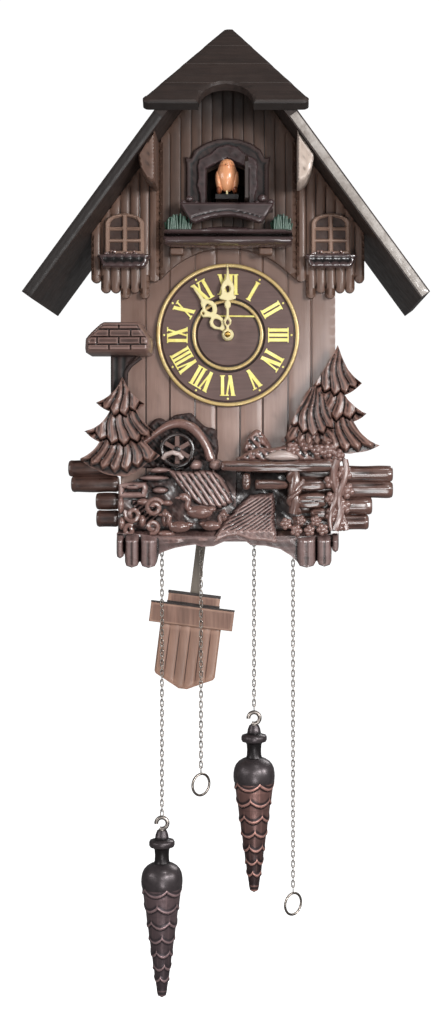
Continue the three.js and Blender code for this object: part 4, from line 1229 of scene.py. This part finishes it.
# ---------------------------------------------------------------- pines
def pine(name, outline, tiers, back, thick, node=None):
    """A carved fir whose outline has its sharp tips.

    tiers are (left tip, right tip, droop, folds) from the top down."""
    loop = []
    for a, b in zip(outline, outline[1:] + outline[:1]):
        for t in np.linspace(0, 1, 7)[:-1]:
            sag = 0.072 * math.hypot(b[0] - a[0], b[1] - a[1]) * math.sin(math.pi * t)
            loop.append((a[0] + (b[0] - a[0]) * t, a[1] + (b[1] - a[1]) * t - sag))

    def height(x, z, d):
        out = np.full(len(x), 2.0)
        done = np.zeros(len(x), bool)
        top = (outline[0][0], outline[0][1] + 8)
        for k, (a, b, droop, folds) in enumerate(tiers):
            middle, level = (a[0] + b[0]) / 2, (a[1] + b[1]) / 2
            half = max((b[0] - a[0]) / 2, 1)
            u = (x - middle) / half
            tips = a[1] + (b[1] - a[1]) * np.clip((u + 1) / 2, 0, 1)
            # folds fan out from above the tier, and its lower edge follows them in points
            fan = np.arctan2(x - top[0], np.maximum(top[1] - z, 1.0))
            spread = math.atan2(half, top[1] - level)
            wave = fan / spread * folds / 2 + 0.25 * np.sin(0.16 * z + k) + 0.37 * k
            tooth = np.abs((wave % 1.0) - 0.5) * 2
            lower = tips - droop * np.clip(1 - np.abs(u) ** 1.5, 0, 1) + 5.0 * tooth - 2.0
            ridge = np.sqrt(np.clip(1 - tooth ** 2.2, 0, 1))
            fine = 0.35 * np.sin(wave * 4 * math.pi + 1.0)
            near = np.clip((z - lower) / 3.2, 0, 1)
            here = (z > lower) & ~done
            length = np.clip((top[1] - z) / max(top[1] - a[1], 1), 0, 1.2)
            shape = thick * (0.30 + 0.42 * length + 0.34 * ridge * (0.4 + 0.6 * length)) + fine
            out = np.where(here, 2.0 + (shape - 2.0) * near ** 0.6, out)
            done |= here
            top = (middle, level + 14)
        edge = round_over(d, 4.0, thick * 1.35)
        return np.minimum(np.maximum(out, 1.6), edge) + 0.1 * ripple(x, z, 3)

    relief(name, [loop], back, height, FIR_WOOD, step=1.0, stands_for=(node,) if node else ())


LEFT_FIR = [(-93, -38.5), (-99, -50), (-116, -61.5), (-104, -69), (-112, -80), (-126.5, -86.5),
            (-113, -96), (-119, -104), (-131, -111), (-116, -121), (-98, -126), (-88, -126),
            (-72, -115), (-60, -108), (-75, -93), (-63, -88), (-74, -78), (-80, -67.5), (-73.5, -62),
            (-87, -50)]
RIGHT_FIR = [(98, -10), (86, -31), (76, -46), (66, -61), (57, -77), (60, -98), (74, -102), (104, -106),
             (114, -105.5), (135.5, -99), (120, -90), (112, -78), (123.5, -71), (110, -62),
             (104, -54.5), (119.5, -44), (107, -32)]
FRONT_FIR = [(78, -47), (73, -48), (69, -54), (62.8, -66), (57, -77), (53, -89), (48, -94), (58, -99),
             (68, -100), (76, -101), (84, -100), (93, -100), (94, -84), (91, -70), (86, -56)]


def make_firs():
    left = [((-116, -61.5), (-73.5, -62), 12, 5), ((-126.5, -86.5), (-63, -88), 12, 6),
            ((-131, -111), (-60, -108), 13, 7)]
    right = [((76, -46), (119.5, -44), 10, 5), ((66, -64), (123.5, -71), 9, 5),
             ((50, -90), (135.5, -99), 10, 8)]
    front = [((56, -80), (97, -80), 12, 5), ((46, -93), (98, -96), 5, 6)]
    pine("left_fir", LEFT_FIR, left, -125, 12, "left_pine")
    pine("right_fir", RIGHT_FIR, right, -125, 11, "right_pine")
    pine("front_fir", FRONT_FIR, front, -132.5, 11)


make_firs()


# ---------------------------------------------------------------- mill, hood and wheel
TILE_ROW = 6.7
TILE_WIDE = 19.0
TILE_TOP = 9.6
TILE_SHIFT = 8.5


def make_mill():
    outline = [(-126, -13), (-125.4, -16.8), (-122, -19), (-70.5, -19), (-67.3, -17.6), (-66.5, -14.5),
               (-66.5, -5), (-76.5, 9.6), (-79, 10.3), (-109, 10.3), (-112, 8.8), (-120, 1.5),
               (-125.4, -4.6)]

    def tiles(x, z, d):
        base = 33 + 3.0 * np.clip((10 - z) / 27, 0, 1)
        row = np.floor((TILE_TOP - z) / TILE_ROW)
        down = ((TILE_TOP - z) / TILE_ROW) % 1.0
        across = ((x + TILE_SHIFT * (row % 2)) / TILE_WIDE) % 1.0
        gap = np.clip(1 - np.minimum(across, 1 - across) / 0.05, 0, 1)
        joint = np.clip(1 - np.minimum(down, 1 - down) / 0.13, 0, 1)
        inside = np.clip((d - 3.2) / 0.8, 0, 1)
        rim = 1.0 * np.exp(-((d - 3.6) / 0.7) ** 2)
        soft = np.minimum(base, 20 + 16 * np.clip(d / 4, 0, 1) ** 0.5)
        return soft - 1.6 * np.maximum(gap, joint) * inside - rim

    relief("mill_roof", [outline], WALL_BACK, tiles, TILE, step=0.9, stands_for=("mill_house",))
    post = [(-104.5, -60), (-97.5, -60), (-95, -46), (-90, -46), (-90, -34), (-88, -26), (-80, -18),
            (-104.5, -18)]

    def weathered(x, z, d):
        return round_over(d, 2.5, 12) + 0.5 * np.sin(x * 0.9)

    lower = relief_shape([post], WALL_BACK, weathered, 1.3)
    lower.take(tube_shape([(-90.5, -123, -40), (-90, -125, -34), (-86, -126, -28), (-77, -126, -21)],
                          1.8, 10))
    piece("mill_post", lower, BACKING_WOOD)


make_mill()


def make_hood():
    """The arched hood over the wheel, and the dark hollow and moss behind it."""
    hood = [(-84, -101), (-77, -95), (-69, -89), (-62, -83), (-54, -78), (-45, -75.5), (-36, -76.5),
            (-26, -82), (-18, -93), (-13, -104), (-11, -113), (-18.5, -113), (-22, -102), (-29, -91.5),
            (-37, -85.5), (-45, -83.4), (-54, -85.5), (-63, -91), (-71, -97), (-78, -103)]
    relief("wheel_hood", [smooth_loop(hood, 3)], WALL_BACK, soft_edge(4.2, 18.0), CARVED, step=1.0,
           stands_for=("wheel_arch",))
    hollow = [(-82, -100), (-66, -88), (-45, -79), (-27, -86), (-14, -106), (-14, -118), (-82, -118)]
    mossy = [(-78, -94), (-72, -83), (-66, -76), (-60, -74.5), (-54, -77), (-48, -72), (-40, -70.5),
             (-33, -70), (-28, -75), (-20, -82), (-12, -84), (-9.5, -92), (-8.5, -104), (-12, -112),
             (-18, -98), (-28, -84), (-45, -78), (-62, -86)]
    backing = Shape()
    for loop, deep in ((hollow, 5.0), (mossy, 9.0)):
        moss = soft_edge(3.0, deep, 1.2, 3.0, 2)
        backing.take(relief_shape([smooth_loop(loop, 3)], WALL_BACK, moss, 1.3))
    piece("hood_backing", backing, BACKING_WOOD)
    make_wheel()
    # the spray before the wheel, painted pale as a highlight
    spray = tube_shape([(-57, -127, -110.5), (-54, -129, -107), (-48.5, -130, -105.4),
                        (-43, -129, -107), (-40.5, -127, -110.5)], 2.3, 12)
    piece("spray", spray, HIGHLIGHT_CARVED)


def make_wheel():
    """Two rims, a hub, six double spokes and the paddles between the rims."""
    wheel = Shape()
    for y0, y1 in ((-124, -121.5), (-116.5, -114)):
        wheel.take(ring_shape(12.4, 15.6, y1, y0, 48))
    hub = lathe_shape([(0, -125.5), (2.4, -125.3), (3.2, -124), (3.2, -115), (0, -114.8)], axis="y",
                      sides=20)
    wheel.take(hub.flipped())
    for k in range(6):
        turn = Matrix.Rotation((k + 0.5) * math.pi / 3, 4, "Y")
        for part in (box_shape(2, 13.4, -123.2, -121.8, -1.8, 1.8),
                     box_shape(2, 13.4, -116, -114.8, -1.8, 1.8),
                     box_shape(11.5, 15.9, -123.5, -114.5, -0.9, 0.9)):
            wheel.take(part.turned(turn))
    wheel = wheel.turned(Matrix.Translation((WHEEL_X, 0, WHEEL_Z)))
    piece("water_wheel", wheel, LOG_WOOD, "mill_wheel", stands_for=("mill_wheel",))


make_hood()


# ---------------------------------------------------------------- carved ground
def stone(x, z, cx, cz, rx, rz, tall):
    q = ((x - cx) / rx) ** 2 + ((z - cz) / rz) ** 2
    return tall * np.clip(1 - q, 0, 1) ** 0.3


SCENE_FLOOR = [(-97, -183.5), (-97, -134), (-88, -131.5), (-72, -126), (-66, -120), (-58, -116),
               (-50, -113), (-43, -110.5), (-37, -113), (-28, -110.5), (-20, -113), (-11, -110.5),
               (-4, -113), (60, -113), (90, -113), (92, -150), (92, -181), (60, -185), (48, -187),
               (34, -184), (21, -183), (9, -179), (0, -180), (-10, -184.5), (-28, -184), (-50, -186)]
WATERFALL = [(-54, -120), (-46, -122), (-30, -121.5), (-12, -121), (-4, -128), (2, -140), (5, -150),
             (-6, -155), (-22, -154), (-34, -146), (-44, -134)]
PLOUGHED = [(-14, -186), (-6, -170), (0, -162), (12, -150), (20, -143), (41, -141), (43, -152),
            (42, -165), (45, -186)]
LEFT_HATCH = [(-85, -148), (-58, -148), (-60, -160), (-68, -170), (-80, -166)]
TROUGH = [(-97, -131.5), (-72, -131.5), (-70, -137), (-72, -146), (-97, -146)]
STONES = [(-43.5, -116.5, 6.5, 5.5, 25), (-28.5, -116.5, 6.8, 5.5, 26), (-11, -116.5, 6.5, 5.5, 26),
          (-62, -121, 14, 3.2, 24), (-66, -128, 16, 3.0, 23), (-84, -136, 9, 3.2, 26),
          (-60, -139, 9, 4, 21)]


def make_ground():
    """The floor of the scene: waterfall, ploughed and hatched fields, trough rim and stones."""
    def height(x, z, d):
        here = np.column_stack([x, z])
        h = 7 + 8 * np.clip((-120 - z) / 50, 0, 1) + 1.6 * ripple(x, z, 14)
        h = np.where(x < 8, h + 4, h) + 11 * np.clip((-174 - z) / 7, 0, 1)
        falling = is_inside(here, [WATERFALL])
        inner = np.clip(edge_distance(here, [WATERFALL]) / 2.5, 0, 1)
        line = (x + 53) * 0.86 + (z + 122) * 0.51 + 2.2 * np.sin((z + 122) * 0.05)
        h = np.where(falling, 17 + 3.5 * inner + 1.9 * np.abs(np.sin(line * 0.66)) ** 0.7, h)
        field = is_inside(here, [PLOUGHED])
        inner = np.clip(edge_distance(here, [PLOUGHED]) / 3.0, 0, 1)
        line = z - 0.62 * x + 1.5 * np.sin(x * 0.08)
        furrow = 0.9 * np.abs(np.sin(line * 0.95)) ** 0.8
        h = np.where(field, 16 + 12 * np.clip((-160 - z) / 16, 0, 1) + 4.5 * inner + furrow, h)
        hatch = is_inside(here, [LEFT_HATCH])
        h = np.where(hatch, 19 + 1.3 * np.sin((0.77 * z - 0.64 * x) * 1.7), h)
        rim = bump_across(edge_distance(here, [TROUGH]), 3.0, 3.0)
        h = np.where(is_inside(here, [TROUGH]), 17 + 7 * rim, h)
        for spot in STONES:
            h = np.maximum(h, stone(x, z, *spot))
        h = np.minimum(np.maximum(h, 4), round_over(d, 3.0, 32)) + 0.08 * ripple(x, z, 2.6)
        return np.where(np.hypot(x - WHEEL_X, z - WHEEL_Z) < WHEEL_CLEAR, np.minimum(h, 3.2), h)

    relief("ground_relief", [SCENE_FLOOR], WALL_BACK, height, GROUND_WOOD, step=1.0,
           stands_for=("ground_carving",))


def make_fence():
    """Six rails before the field, and a post with a stem wound around it."""
    top = [(-5, -114), (0, -112.6), (20, -112.8), (45, -113.6), (70, -113), (93, -112.6), (93, -121),
           (70, -122.6), (45, -123.2), (22, -122.6), (0, -121.4), (-5, -119.5)]
    low = [(25, -130), (29, -129.4), (52, -130.4), (52, -137.4), (28, -137.6), (25, -136)]
    second = [(64, -131), (86, -130), (86, -138), (64, -138.5)]
    third = [(64, -143), (86, -142), (86, -153), (64, -154)]
    stub = [(14, -125), (20, -125), (20, -137), (14, -137)]
    far = [(74, -156), (88, -155), (88, -164), (76, -164)]

    def rail(x, z, d):
        grain = 0.25 * np.sin(z * 2.0 + 0.3 * np.sin(x * 0.3))
        return round_over(d, 3.6, deep) + grain * np.clip(d / 2, 0, 1)

    rails = Shape()
    for loop, y, deep in ((top, -139.4, 8.0), (low, -130, 12.0), (second, -128, 13.0),
                          (third, -128, 14.0), (stub, -130, 11.0), (far, -128, 13.0)):
        rails.take(relief_shape([smooth_loop(loop, 3)], y, rail, step=1.2))
    piece("fence_rails", rails, LOG_WOOD, stands_for=("fence",))

    post = [(59, -141, -121), (60, -143, -131), (58.5, -143, -140), (60, -143, -149),
            (58.5, -142, -159)]
    twist = [(59 + 4.6 * math.sin(0.30 * (z + 122)), -145 - 2.5 * math.cos(0.30 * (z + 122)), z)
             for z in np.linspace(-123, -159, 14)]
    branch = [(67, -141, -130), (64, -144, -134), (60, -146, -139)]
    limbs = [tube_shape(smooth_path(route), r, 12)
             for route, r in ((post, 4.6), (twist, 2.3), (branch, 2.4))]
    piece("fence_post", Shape().take(*limbs), LOG_WOOD)


# the ivy's leaves on the post at the right, along the foot and before the pines:
# the Y of their backs, their thickness, and (x, z, size, turn) of each
LEAVES = (
    (-141.5, 5.2, ((93, -116, 7, 0.4), (103, -124, 8, -0.5), (92, -131, 7.5, 0.1), (105, -139, 8, -0.7),
                   (92, -146, 7, 0.8), (102, -153, 8, -0.2), (93, -160, 7.5, 0.5), (100, -168, 7, -0.6))),
    (-143.0, 4.6, ((61, -174, 6, 0.4), (72.5, -174, 5.5, 1.1), (84, -173, 6, -0.4), (52, -168, 6, 0.9),
                   (78, -165.5, 5.5, 0.2), (65, -165, 5, -0.9))),
    (-136.5, 5.5, ((58, -102, 7, 0.6), (70, -98, 7.5, -0.3), (80, -103, 7, 0.9), (64, -92, 6, 0.2),
                   (90, -104, 7.5, -0.6), (98, -108, 6.5, 0.3), (76, -92, 6.5, -0.8), (88, -94, 6, 0.4))),
)


def leaf(cx, cz, size, turn, back, thick):
    """A small leaf of five soft lobes around a raised middle."""
    shape = Shape()
    for k in range(5):
        a = turn + 2 * math.pi * k / 5
        reach = size * 0.52
        shape.take(ball_shape((cx + reach * math.sin(a), back - thick * 0.35, cz + reach * math.cos(a)),
                              (size * 0.42, thick * 0.55, size * 0.42), 12, 8))
    middle = ball_shape((cx, back - thick * 0.45, cz), (size * 0.5, thick * 0.62, size * 0.5), 12, 8)
    return shape.take(middle)


def make_leaves():
    leaves = [leaf(*spot, back, thick) for back, thick, spots in LEAVES for spot in spots]
    piece("ivy_leaves", Shape().take(*leaves), CARVED)
    stems = Shape()
    for shift, phase, r in ((0.0, 0.0, 3.2), (4.5, 2.4, 2.8), (-3.0, 4.2, 2.2)):
        path = [(97 + shift + 3.4 * math.sin(phase + 0.11 * (z + 112)),
                 -144.5 - 1.5 * math.cos(phase + 0.11 * z), z) for z in np.linspace(-112, -174, 16)]
        stems.take(tube_shape(path, r, 10))
    piece("ivy_stems", stems, CARVED)


def make_hills():
    """The bank behind the fence, with a mound painted pale as a highlight, a shrub and a ball on it."""
    bank = [(22, -103), (30, -101), (40, -101.5), (52, -99), (62, -97), (88, -100), (100, -108),
            (104, -113), (60, -113.6), (10, -113), (13, -108)]
    mound = [(33, -110), (36, -107), (43, -104), (51, -103.4), (58, -105.6), (63, -109.4), (60, -112.4),
             (40, -112.6)]
    shrub = [(14, -104), (15.5, -96), (21, -88), (26.5, -84.6), (31, -88), (36, -94), (39.5, -103),
             (34, -107), (20, -107.5)]

    def hill(loop, back, deep, soft, uneven=2.0):
        def lobed(x, z, d):
            return round_over(d, soft, deep) + uneven * ripple(x, z, 5, 4) * np.clip(d / 3, 0, 1)

        return relief_shape([smooth_loop(loop, 3)], back, lobed, step=1.3)

    piece("mound_carving", hill(mound, -134, 9.0, 5.0, 0.0), HIGHLIGHT_CARVED)
    ball = ball_shape((21, -132, -107), (4.0, 6, 4.0), 18, 12)
    hills = Shape().take(hill(bank, -128.5, 9.5, 4.0), hill(shrub, -111, 17, 4.0), ball)
    piece("hill_carving", hills, CARVED)


# (middle, half width of the outline, half width of the ridge, lower end)
LEFT_LOBES = ((-93.6, 3.4, 3.4, -198.5), (-83.3, 6.4, 6.5, -206.5), (-68.7, 7.4, 7.4, -206.8))
RIGHT_LOBES = ((70.0, 8.4, 8.4, -206.5), (85.6, 6.6, 6.7, -205.6), (95.2, 3.2, 3.2, -193))


def make_base():
    """The wavy board under the scene, with three rounded lobes at each end, and its shelf."""
    def rounded(lobes):
        ends = ((-0.96, 5), (-0.72, 1.6), (0, 0), (0.72, 1.6), (0.96, 5))
        return [(cx + half * u, bottom + v) for cx, half, _, bottom in lobes for u, v in ends]

    edge = [(-97, -176)] + rounded(LEFT_LOBES)
    edge += [(-60, -195), (-55, -192.5), (-46, -189.5), (-36, -187.5), (-28, -186.5), (-22, -188.5),
             (-12, -188), (-4, -184.5), (2, -182.2), (9, -181.6), (16, -183), (21, -187), (34, -187.5),
             (47, -190.5), (56, -196)]
    edge += rounded(RIGHT_LOBES)
    edge += [(98.5, -176), (60, -181), (48, -183), (34, -181), (21, -179), (9, -176), (-10, -180),
             (-28, -180), (-50, -182), (-70, -178)]

    def height(x, z, d):
        h = 2.2 + 0.1 * ripple(x, z, 6)
        for cx, _, half, _ in LEFT_LOBES + RIGHT_LOBES:
            across = np.clip(1 - ((x - cx) / half) ** 2, 0, 1)
            fade = np.clip((-176 - z) / 7, 0, 1)
            flute = 1.1 * np.exp(-((x - cx) / (0.36 * half)) ** 2) * (half > 5)
            h = np.maximum(h, (3.0 + 8.5 * np.sqrt(across) - flute) * fade * (across > 0))
        return np.minimum(h, round_over(d, 4.5, 12.5))

    shape = relief_shape([edge], SHELF_Y, height, step=1.0)
    shape.take(box_shape(-96.5, 98, SHELF_Y - 0.5, FRONT_FACE - 0.5, -184, -179))
    piece("base_carving", shape, BASE_WOOD, stands_for=("base_board",))


# (x0, x1, z, radius) of each log that stands out at a side
LOGS = {
    "left": ((-142, -97, -119.6, 7.4), (-139.5, -97, -133.4, 7.4), (-117.5, -97, -148.8, 7.6),
             (-117, -97, -164.3, 7.6)),
    "right": ((53, 147.5, -124.5, 7.3), (53, 147.5, -138.5, 7.5), (57, 129, -153, 7.9),
              (57, 126, -167.5, 6.9)),
}
LOG_Y = -119.5


def log_shape(x0, x1, z, r):
    """A log along X with rounded rims at both ends and a lobed, slightly wavy bark."""
    ends = ((2.4, 0.0), (0.8, 0.7), (0.0, 2.5))
    profile = [(0, x0)] + [(r - inset, x0 + depth) for inset, depth in ends]
    profile += [(r * (1 - 0.03 * math.sin(0.21 * x + z)), x) for x in np.arange(x0 + 5, x1 - 4, 3.5)]
    profile += [(r - inset, x1 - depth) for inset, depth in reversed(ends)] + [(0, x1)]
    return lathe_shape(profile, axis="x", centre=(0, LOG_Y, z), sides=40,
                       wobble=lambda a, h: 1 - 0.05 * abs(math.sin(3.5 * a + 0.02 * h + z)) ** 3)


def make_logs():
    for side, logs in LOGS.items():
        stack = Shape().take(*(log_shape(*log) for log in logs))
        # the left stack takes the darker copy of the log wood: painted shade
        piece(f"{side}_logs", stack, SHADED_LOG if side == "left" else LOG_WOOD,
              stands_for=(f"{side}_log_stack",), slot="log_wood")


def water_bird(x, z, size, way):
    """A swimming bird that looks left (way = -1) or right, with a bent neck."""
    def at(u, y, v):
        return (x + way * u * size, y, z + v * size)

    def ball(u, y, v, ru, ry, rv, sides, rings):
        return ball_shape(at(u, y, v), (ru * size, ry, rv * size), sides, rings)

    neck = [at(7, -139, 1), at(11, -141, 5), at(10, -142, 10), at(12.5, -142.5, 13.5)]
    body = ball(0, -138, 0, 11.5, 6.5, 6.0, 28, 16)
    tail = ball(-9.5, -137, 2.5, 5, 4, 2.6, 18, 10)
    wing = ball(-1.5, -142.5, 0.5, 7.5, 3.0, 3.8, 22, 12)
    head = ball(14, -142.5, 13.6, 4.3, 3.4, 3.3, 18, 12)
    bill = ball(18.6, -142.5, 12.6, 3.2, 1.8, 1.3, 14, 8)
    return body.take(tail, wing, tube_shape(smooth_path(neck), 2.7 * size, 12), head, bill)


def scroll(cx, cz, r, turns, start):
    """A carved tendril that curls inwards and rises."""
    path = []
    for t in np.linspace(0, 1, 36):
        a = start + turns * 2 * math.pi * t
        reach = r * (1 - 0.72 * t)
        path.append((cx + reach * math.cos(a), -137 - 2.5 * t, cz + reach * math.sin(a)))
    return tube_shape(path, 2.1, 10)


def make_birds_on_water():
    flock = [water_bird(-24, -158, 1.0, -1), water_bird(-42, -171, 0.85, -1),
             water_bird(-14, -170, 0.75, 1)]
    piece("water_birds", Shape().take(*flock), CARVED)
    plants = Shape()
    for curl in ((-64, -154, 8.0, 1.4, 0.4), (-83, -160, 7.0, 1.3, 2.6), (-66, -171, 6.0, 1.2, 4.4),
                 (-86, -174, 5.0, 1.1, 1.0)):
        plants.take(scroll(*curl))
    for cx, cz, rx, rz in ((-94, -152, 3.0, 7.5), (-74, -149, 6, 3), (-55, -163, 3.2, 8.0),
                           (-75, -166, 3.2, 5.5), (-53, -150, 5.0, 2.6), (-3, -161, 3.2, 5.5),
                           (-93, -168, 3.0, 6.0), (-54, -177, 8, 3)):
        plants.take(ball_shape((cx, -134.5, cz), (rx, 4.6, rz), 18, 12))
    piece("water_plants", plants, CARVED)


make_ground()
make_fence()
make_leaves()
make_hills()
make_birds_on_water()
make_base()
make_logs()


# ---------------------------------------------------------------- pendulum and weights
BOB_Y = -1.4             # from the rod's own plane to the bob's boards
BAR_Y = -5.0


def make_pendulum():
    """The rod keeps its shape; the bob is a small chalet front that hangs askew with it."""
    finish_cad("pendulum_rod", ROD_WOOD, 0.3)
    hang = Matrix.Translation(PENDULUM_PIVOT) @ Matrix.Rotation(PENDULUM_SWING, 4, "Y")
    half = 28.8
    left = [(-4, -361), (-17, -354.5), (-half + 1.5, -349.5), (-half, -347), (-half, -299)]
    edges = [-half, -19, -9.6, 0.4, 10.2, 19.6, half]
    bar = [(-39.5, -301), (39.5, -301), (39.5, -282), (-39.5, -282)]
    gable = [(-24.6, -284), (24.6, -284), (24.6, -270.4), (-24.6, -270.4)]
    bob = relief_shape([mirrored(left)], BOB_Y, reeds(edges, 3.4, 0.8, 0.7), 1.6,
                       board_columns(edges), 4.0)
    bob.take(relief_shape([bar], BAR_Y, soft_edge(0.8, 4.8), 1.3),
             relief_shape([gable], BOB_Y, soft_edge(0.8, 3.4), 1.8))
    piece("bob_house", bob.turned(hang), BOB_WOOD, "pendulum_bob", stands_for=("pendulum_bob",),
          slot="plain_wood")
    # dark strips at the gable's foot and top, and along the bar's top a dark strip that paints the shade
    # beneath the gable
    caps_and_shade = Shape().take(box_shape(-25, 25, -5.6, BOB_Y, -283.5, -279.5),
                        box_shape(-25, 25, -5.8, BOB_Y, -272.2, -269.8),
                        box_shape(-39.7, 39.7, -10.1, -4.9, -282.4, -281.2))
    piece("bob_caps_and_shade", caps_and_shade.turned(hang), DOOR_WOOD, "pendulum_bob", slot="plain_wood")


# (distance below the shoulder, radius) of the cone
CONE_PROFILE = ((0.0, 6.8), (3.0, 13.0), (8.0, 17.8), (15.0, 19.2), (30.0, 17.7), (47.0, 15.1),
                (69.0, 12.2), (90.0, 9.2), (108.0, 6.7), (118.0, 5.2), (122.5, 3.8), (124.5, 0.3))
SCALE_ROWS = (27.0, 42.0, 57.0, 71.0, 84.5, 97.0, 108.0)
SCALES_AROUND = 5
CONE_TOP, CONE_LENGTH = 43.0, 124.5
# (radius, height from the chain's end) of the neck
NECK_PROFILE = [(0, -66), (18.2, -66), (18.9, -64), (19.15, -60.5), (19.0, -57.0), (18.3, -53.0),
                (16.8, -49.6), (14.4, -46.8), (11.0, -44.6), (7.4, -43.2), (6.7, -41), (6.5, -36),
                (6.9, -31), (8.2, -29), (11.0, -28.4), (11.8, -26.8), (11.8, -24.2), (11.0, -22.6),
                (8.0, -21.8), (6.4, -20.8), (5.8, -17), (4.4, -13.6), (0, -13)]
HOOK_RADIUS, HOOK_DROP = 5.2, 6.9


def cone_shape(x, shoulder):
    """A tapering cone whose rows of overlapping scales end in a scalloped lip."""
    sides = 110
    places, widths = zip(*CONE_PROFILE)
    depths = np.unique(np.concatenate([np.linspace(12, 116, 170), np.linspace(116, CONE_LENGTH, 14)]))
    angles = 2 * math.pi * np.arange(sides) / sides
    h, a = np.meshgrid(depths, angles, indexing="ij")
    rise = np.zeros_like(h)
    upper = np.full_like(h, 6.0)
    for k, depth in enumerate(SCALE_ROWS):
        wave = np.abs(np.sin(SCALES_AROUND / 2 * a + 1.25 * k))
        lower = depth + 5.4 * (wave ** 0.75 - 0.6) * (1 - 0.06 * k)
        t = np.clip((h - upper) / np.maximum(lower - upper, 0.5), 0, 1)
        here = (h >= upper) & (h < lower)
        lip = np.exp(-((lower - h - 1.5) / 1.3) ** 2)
        rise = np.where(here, 0.6 * t ** 2 + 0.55 * lip, rise)
        upper = lower
    fade = np.clip(h / 14 - 0.6, 0, 1) * np.clip((120 - h) / 8, 0, 1)
    radius = np.interp(h, places, widths) - 0.6 * np.clip((122 - h) / 6, 0, 1) + rise * fade
    radius = np.maximum(radius, 0.2)
    points = np.column_stack([(x + radius * np.cos(a)).ravel(), (CHAIN_Y + radius * np.sin(a)).ravel(),
                              (shoulder - h).ravel()])
    last = (len(depths) - 1) * sides
    faces = [tuple(range(sides)), tuple(last + k for k in range(sides))[::-1]]
    for start in range(0, last, sides):
        for k in range(sides):
            m = (k + 1) % sides
            faces.append((start + m, start + k, start + sides + k, start + sides + m))
    return Shape().add(points, faces)


def make_weight(side):
    """A pine cone casting with its turned neck, and the hook that the chain ends in."""
    x, top, body = TRAIN_X[side] - CHAIN_RADIUS, WEIGHT_TOP[side], f"{side}_weight"
    piece(f"{side}_pine_cone", cone_shape(x, top - CONE_TOP), GREY_IRON if side == "left" else IRON,
          body, sharp=70, stands_for=(body,), slot="cast_iron")
    collar = lathe_shape(NECK_PROFILE, centre=(x, CHAIN_Y, top), sides=64)
    piece(f"{side}_weight_neck", collar, DARK_IRON, body, sharp=50, slot="cast_iron")
    path = [(x - HOOK_RADIUS, CHAIN_Y, top - 5.6)]
    for k in range(30):
        turn = math.radians(-96 + 300 * k / 29)
        path.insert(0, (x + HOOK_RADIUS * math.sin(turn), CHAIN_Y,
                        top - HOOK_DROP + HOOK_RADIUS * math.cos(turn)))
    hook = tube_shape(path, 1.9, 12)
    hook.take(tube_shape([(x, CHAIN_Y, top - 12.2), (x, CHAIN_Y, top - 21.5)], 3.2, 14))
    piece(f"{side}_weight_hook", hook, HOOK_METAL, body, sharp=70, slot="cast_iron")


make_pendulum()
make_weight("left")
make_weight("right")


# ---------------------------------------------------------------- the works inside
def make_works():
    for node in ("front_plate", "back_plate", "left_sprocket", "right_sprocket", "centre_wheel",
                 "escape_wheel"):
        finish_cad(node, BRASS, 0.15)
    for node in ("anchor", "gong", "gong_hammer"):
        finish_cad(node, STEEL, 0.15)
    for node in ("left_whistle", "right_whistle", "left_bellows_lid", "right_bellows_lid"):
        finish_cad(node, PLAIN_WOOD, 0.4)


make_works()


# ---------------------------------------------------------------- stage and lights
def area_light(name, place, size, power, sheen_only=False):
    data = bpy.data.lights.new(name, "AREA")
    data.shape = "DISK"
    data.size = size
    data.energy = power
    light = in_scene(name, data)
    light.location = place
    light.visible_diffuse = not sheen_only
    light.rotation_mode = "QUATERNION"
    light.rotation_quaternion = (Vector(LIT) - Vector(place)).to_track_quat("-Z", "Y")


def make_floor():
    """A white floor that only the camera sees."""
    mesh = bpy.data.meshes.new("floor")
    half, z = 12.0, -1.1
    mesh.from_pydata([(-half, -half, z), (half, -half, z), (half, half, z), (-half, half, z)], [],
                     [(0, 1, 2, 3)])
    paint = Nodes("floor_paint")
    for key, value in (("Base Color", (0.9, 0.9, 0.9, 1)), ("Roughness", 0.9),
                       ("Emission Color", (1, 1, 1, 1)), ("Emission Strength", 1.0)):
        paint.put(paint.shader, key, value)
    mesh.materials.append(paint.material)
    floor = in_scene("floor", mesh)
    floor.visible_diffuse = False
    floor.visible_glossy = False


def make_world():
    """A white studio: bright to the camera, dim as a light."""
    world = bpy.data.worlds.new("studio")
    bpy.context.scene.world = world
    world.use_nodes = True
    tree = world.node_tree
    back = tree.nodes["Background"]
    back.inputs["Color"].default_value = (1, 1, 1, 1)
    seen = tree.nodes.new("ShaderNodeLightPath")
    level = tree.nodes.new("ShaderNodeMapRange")
    level.inputs["To Min"].default_value = 0.17
    level.inputs["To Max"].default_value = 1.05
    tree.links.new(seen.outputs["Is Camera Ray"], level.inputs["Value"])
    tree.links.new(level.outputs[0], back.inputs["Strength"])
    bpy.context.scene.view_settings.view_transform = "Standard"


LIT = (0, -0.1, -0.25)
LIGHTS = (
    ("key", (0.85, -1.5, 0.05), 0.42, 18),
    ("low", (0.2, -1.5, -0.95), 0.5, 6),
    ("fill", (-1.4, -1.5, 0.0), 0.8, 5.5),
    ("top", (0.5, -0.9, 1.1), 0.4, 5),
    ("rim", (0.9, 1.2, 0.5), 0.8, 8),
    ("window", (0.2, -1.6, -0.2), 0.3, 3.6, True),
    ("right_sheen", (1.5, -0.8, 0.0), 0.5, 15, True),
    ("left_sheen", (-1.5, -0.8, 0.1), 0.5, 5, True),
)

make_floor()
make_world()
for settings in LIGHTS:
    area_light(*settings)
